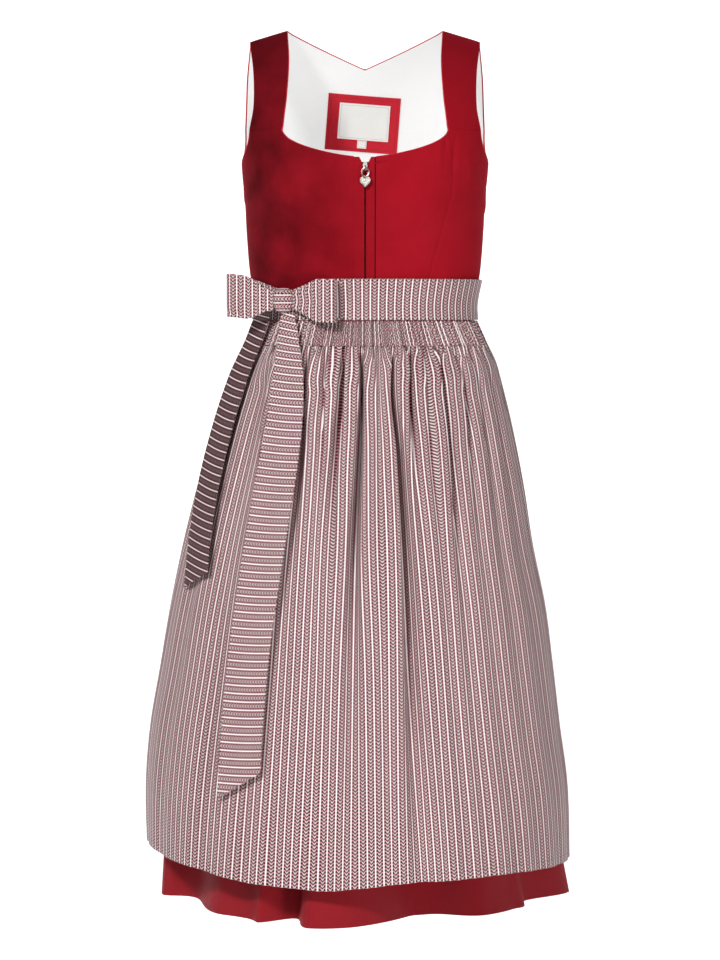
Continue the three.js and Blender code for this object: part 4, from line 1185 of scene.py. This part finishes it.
def knot_points(columns, rows):
    """A ball pressed into a rounded pad: each coordinate of the unit ball is raised to the power of the
    roundness, and scaled to the knot's size."""
    u, v = grid(columns, rows)
    around, up = 2 * math.pi * u, math.pi * (v - 0.5)
    ball = np.stack([np.cos(up) * np.sin(around), -np.cos(up) * np.cos(around), np.sin(up)], axis=-1)
    pressed = np.sign(ball) * np.abs(ball) ** KNOT["roundness"] / 2
    return pressed * [KNOT["width"], KNOT["depth"], KNOT["height"]] + [KNOT["x"], KNOT["y"], KNOT["z"]]


def loop_surface(to_left, turn, rise):
    """A loop: out along a parabola and back, bulging in front and behind, and taller towards its tip."""
    sign = 1 if to_left else -1
    heading = math.radians(turn)

    def surface(u, v):
        back = 2 * u - 1
        out = LOOP["length"] * (1 - back * back)
        bulge = np.where(back > 0, LOOP["belly"], LOOP["rest"]) * np.sin(math.pi * back * LOOP["swell"])
        tall = mix(LOOP["neck"], LOOP["tall"], smooth(out / (LOOP["length"] * 0.62)))
        x = KNOT["x"] + sign * (KNOT["width"] / 2 + SEAM_GAP + out * math.cos(heading))
        y = KNOT["y"] + out * math.sin(heading) - bulge
        return np.stack([x, y, KNOT["z"] + rise * smooth(out / LOOP["length"]) + (v - 0.5) * tall], axis=-1)
    return surface


def hanging_end(shape, slant):
    """A hanging end: a band whose middle, width and turn come from the table, standing off the apron, with
    its bottom cut at a slant."""
    def surface(u, v):
        z = mix(shape["z"][-1] + slant * u, shape["z"][0], v)
        turn = np.radians(read(shape, "turn", z))
        middle = read(shape, "x", z)
        share = np.minimum(0.97, np.abs(middle) / read(APRON, "right", z))
        front = read(APRON, "front", z) * (1 - share**RING_SQUARE) ** (1 / RING_SQUARE)
        aside = (u - 0.5) * read(shape, "width", z)
        y = -front - read(shape, "off", z) + aside * np.sin(turn)
        return np.stack([middle + aside * np.cos(turn), y, z], axis=-1)
    return surface


BOW_CREASES = [
    (-119, -322, -150, -313, 3.0, -1.8), (-119, -335, -146, -343, 3.0, -1.6),
    (-122, -329, -158, -331, 4.0, 1.2), (-174, -350, -136, -355, 3.5, -2.2),
    (-92, -330, -58, -322, 3.0, -1.6), (-91, -341, -66, -351, 3.0, -1.6),
    (-88, -336, -50, -338, 4.0, 1.2), (-92, -324, -74, -312, 3.0, -1.2),
]
KNOT_CREASES = [
    (-114, -328, -88, -329, 1.8, -1.6), (-114, -341, -88, -339, 1.8, -1.6), (-108, -335, -94, -334, 2.0, 0.6),
]
knot_grid = creased(knot_points(72, 44), KNOT_CREASES)
knot_number = np.arange(knot_grid.shape[0] * knot_grid.shape[1]).reshape(knot_grid.shape[:2])
knot_mesh = mesh_of("bow_knot", knot_grid, quads_of(knot_number), along_band(knot_grid, 0))
knot_mesh.materials.append(apron_face)
knot = add_object("bow_knot_cloth", knot_mesh)
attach(knot, BODY)
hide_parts("bow_knot")

for side, turn in LOOP_TURNS.items():
    loop_grid = creased(loop_surface(side == "left", turn, LOOP_RISES[side])(*grid(90, 40)), BOW_CREASES)
    cloth(
        "bow_loop_" + side, loop_grid, (-TIE_CLOTH, 0), [apron_face],
        along_band(loop_grid, 1),
    )
for name, shape in (("end_long", LONG_END), ("end_short", SHORT_END)):
    end_grid = hanging_end(shape, SLANTS[name])(*grid(26, 220))
    from_top = run(end_grid[::-1], 0)[::-1]
    end_across = run(end_grid, 1)
    end_along = from_top - END_TILTS[name] * end_across * np.exp(-from_top / TILT_REACH)
    end_flat = np.stack([end_along, end_across], axis=-1)
    cloth(
        name, end_grid, (0, TIE_CLOTH), [apron_face if name == "end_long" else apron_back],
        end_flat,
    )


# Zip
# A metal zip sewn behind the placket: a woven tape, and dark teeth that lock from both sides. Only the slit
# between the placket's flaps shows it.
ZIP_TOP = -167
ZIP_HALF_WIDTH = 5
ZIP_LAYER = (-0.4, 1)
TOOTH = {"wide": 2.6, "thick": 0.7, "tall": 0.9, "pitch": 1.35, "aside": 0.5, "out": 1.3}


def zip_surface(u, v):
    """The tape, flat across the middle of the front."""
    x = mix(-ZIP_HALF_WIDTH, ZIP_HALF_WIDTH, u)
    z = panel_height(ZIP_TOP, v)
    return figure(np.sign(x) * angle_at(x, z), z)


tape = plain_cloth(
    "zip_tape", dye(60, 8, 16), dye(34, 4, 10), threads=8000, slubs=300, depth=0.0002,
    Roughness=0.85, Specular_IOR_Level=0.2,
)
cloth("zip_chain", zip_surface(*grid(12, 60)), ZIP_LAYER, [tape])

gunmetal, gunmetal_tree, gunmetal_shader = finish_of("dark_teeth", Metallic=1.0, Roughness=0.4)
gunmetal_wear = noise(gunmetal_tree, object_place(gunmetal_tree), 1500, 3.0)
gunmetal_colour = blend_of(gunmetal_tree, gunmetal_wear, dye(22, 12, 12), dye(60, 44, 42))
coloured(gunmetal_tree, gunmetal_shader, gunmetal_colour, gunmetal_wear, 0.0001)
tooth_levels = np.arange(WAIST_SEAM + 1, ZIP_TOP - 10, TOOTH["pitch"])
tooth_side = TOOTH["aside"] * np.where(np.arange(len(tooth_levels)) % 2, 1, -1)
tooth_front = figure(0 * tooth_levels, tooth_levels)[:, 1] - TOOTH["out"]
tooth_middle = np.stack([tooth_side, tooth_front, tooth_levels], axis=-1)
tooth_corner = np.array([(x, y, z) for z in (-0.5, 0.5) for y in (-0.5, 0.5) for x in (-0.5, 0.5)])
tooth_points = tooth_middle[:, None] + tooth_corner * [TOOTH["wide"], TOOTH["thick"], TOOTH["tall"]]
tooth_faces = np.array([(0, 2, 3, 1), (4, 5, 7, 6), (0, 1, 5, 4), (2, 6, 7, 3), (0, 4, 6, 2), (1, 3, 7, 5)])
teeth_faces = len(tooth_corner) * np.arange(len(tooth_levels))[:, None, None] + tooth_faces
teeth_mesh = mesh_of("zip_teeth", tooth_points, teeth_faces.reshape(-1, 4))
teeth_mesh.materials.append(gunmetal)
teeth = add_object("zip_teeth", teeth_mesh)
rounding = teeth.modifiers.new("rounded", "BEVEL")
rounding.width = 0.15 * MM
rounding.segments = 2
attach(teeth, BODY)


# Slider, ring and heart
# Cast metal, silvered and rubbed dull in the hollows. Their CAD shapes stay, with a silver finish.
silver, silver_tree, silver_shader = finish_of("old_silver", Metallic=1.0)
silver_place = object_place(silver_tree)
silver_rub = ranged(silver_tree, noise(silver_tree, silver_place, 420, 4.0), 0.35, 0.7)
silver_colour = blend_of(silver_tree, silver_rub, dye(224, 223, 214), dye(134, 128, 118))
silver_grain = noise(silver_tree, silver_place, 1100, 3.0)
coloured(silver_tree, silver_shader, silver_colour, silver_grain, 0.0003)
silver_dulled = calc(silver_tree, "ADD", calc(silver_tree, "MULTIPLY", silver_rub, 0.25), 0.26)
silver_tree.links.new(silver_dulled, silver_shader.inputs["Roughness"])
for name in ("zip_slider", "pull_ring", "heart_charm"):
    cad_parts[name].material_slots[0].material = silver


# Labels
# A red cloth patch sewn inside the back of the neck. A woven label and a small tag, both left bare, are sewn
# on it.
LABEL_TURN = math.radians(-4.4)
PATCH_LAYER = (-2.6, -1.6)
LABEL_LAYER = (-4.4, -3.4)
LABELS = {
    "label_patch": {"centre": 0, "top": -71.5, "width": 94, "height": 72.5, "inset": 3.5},
    "woven_label": {"centre": 0.5, "top": -82, "width": 66, "height": 46.8, "inset": 2.2},
    "size_tag": {"centre": -3.6, "top": -129.1, "width": 12, "height": 10.2, "inset": 1.2},
}


def on_back_lining(place):
    """An oblong turned a little, laid on the inside of the back by its x and z."""
    def surface(u, v):
        side = (0.5 - u) * place["width"]
        rise = (v - 1) * place["height"]
        x = place["centre"] + side * math.cos(LABEL_TURN) - rise * math.sin(LABEL_TURN)
        z = place["top"] + side * math.sin(LABEL_TURN) + rise * math.cos(LABEL_TURN)
        points = figure(angle_at(x, z, True), z)
        points[..., 0] *= np.where(x < 0, -1, 1)
        return points
    return surface


def label_finish(name, place, light, dark, thread, threads, painted_glow):
    """Woven cloth with a line of stitches inside its four edges; the distance is that to the nearest edge."""
    # The cloth also glows in its own colour: painted light that brightens it.
    made, tree, shader = finish_of(
        name, Roughness=0.8, Specular_IOR_Level=0.2, Sheen_Weight=0.1, Emission_Strength=painted_glow
    )
    weave_height, slub = woven(tree, threads, 350)
    apart = parts_of(tree, flat_place(tree))
    wide, tall = place["width"] * MM / 2, place["height"] * MM / 2
    from_side = calc(tree, "SUBTRACT", wide, calc(tree, "ABSOLUTE", apart["X"]))
    from_middle = calc(tree, "ABSOLUTE", calc(tree, "SUBTRACT", apart["Y"], tall))
    distance = calc(tree, "MINIMUM", from_side, calc(tree, "SUBTRACT", tall, from_middle))
    stitched = sewn(tree, distance, calc(tree, "ADD", apart["X"], apart["Y"]), place["inset"] * MM)
    colour = blend_of(tree, stitched, blend_of(tree, slub, light, dark), thread)
    tree.links.new(colour, shader.inputs["Emission Color"])
    height = calc(tree, "SUBTRACT", weave_height, calc(tree, "MULTIPLY", stitched, 2))
    coloured(tree, shader, colour, height, 0.0002)
    return made


# The last value of each is how strongly it glows: painted light.
LABEL_WHITE = dye(232, 230, 226), dye(222, 220, 216), dye(188, 180, 172), 11000, 0.32
PATCH_RED = dye(196, 30, 48), dye(176, 20, 38), dye(140, 8, 24), 5000, 0.15
for name, place in LABELS.items():
    on_patch = name != "label_patch"
    finish = label_finish(name, place, *(LABEL_WHITE if on_patch else PATCH_RED))
    cloth(
        name, on_back_lining(place)(*grid(36, 32)), LABEL_LAYER if on_patch else PATCH_LAYER,
        [finish],
    )
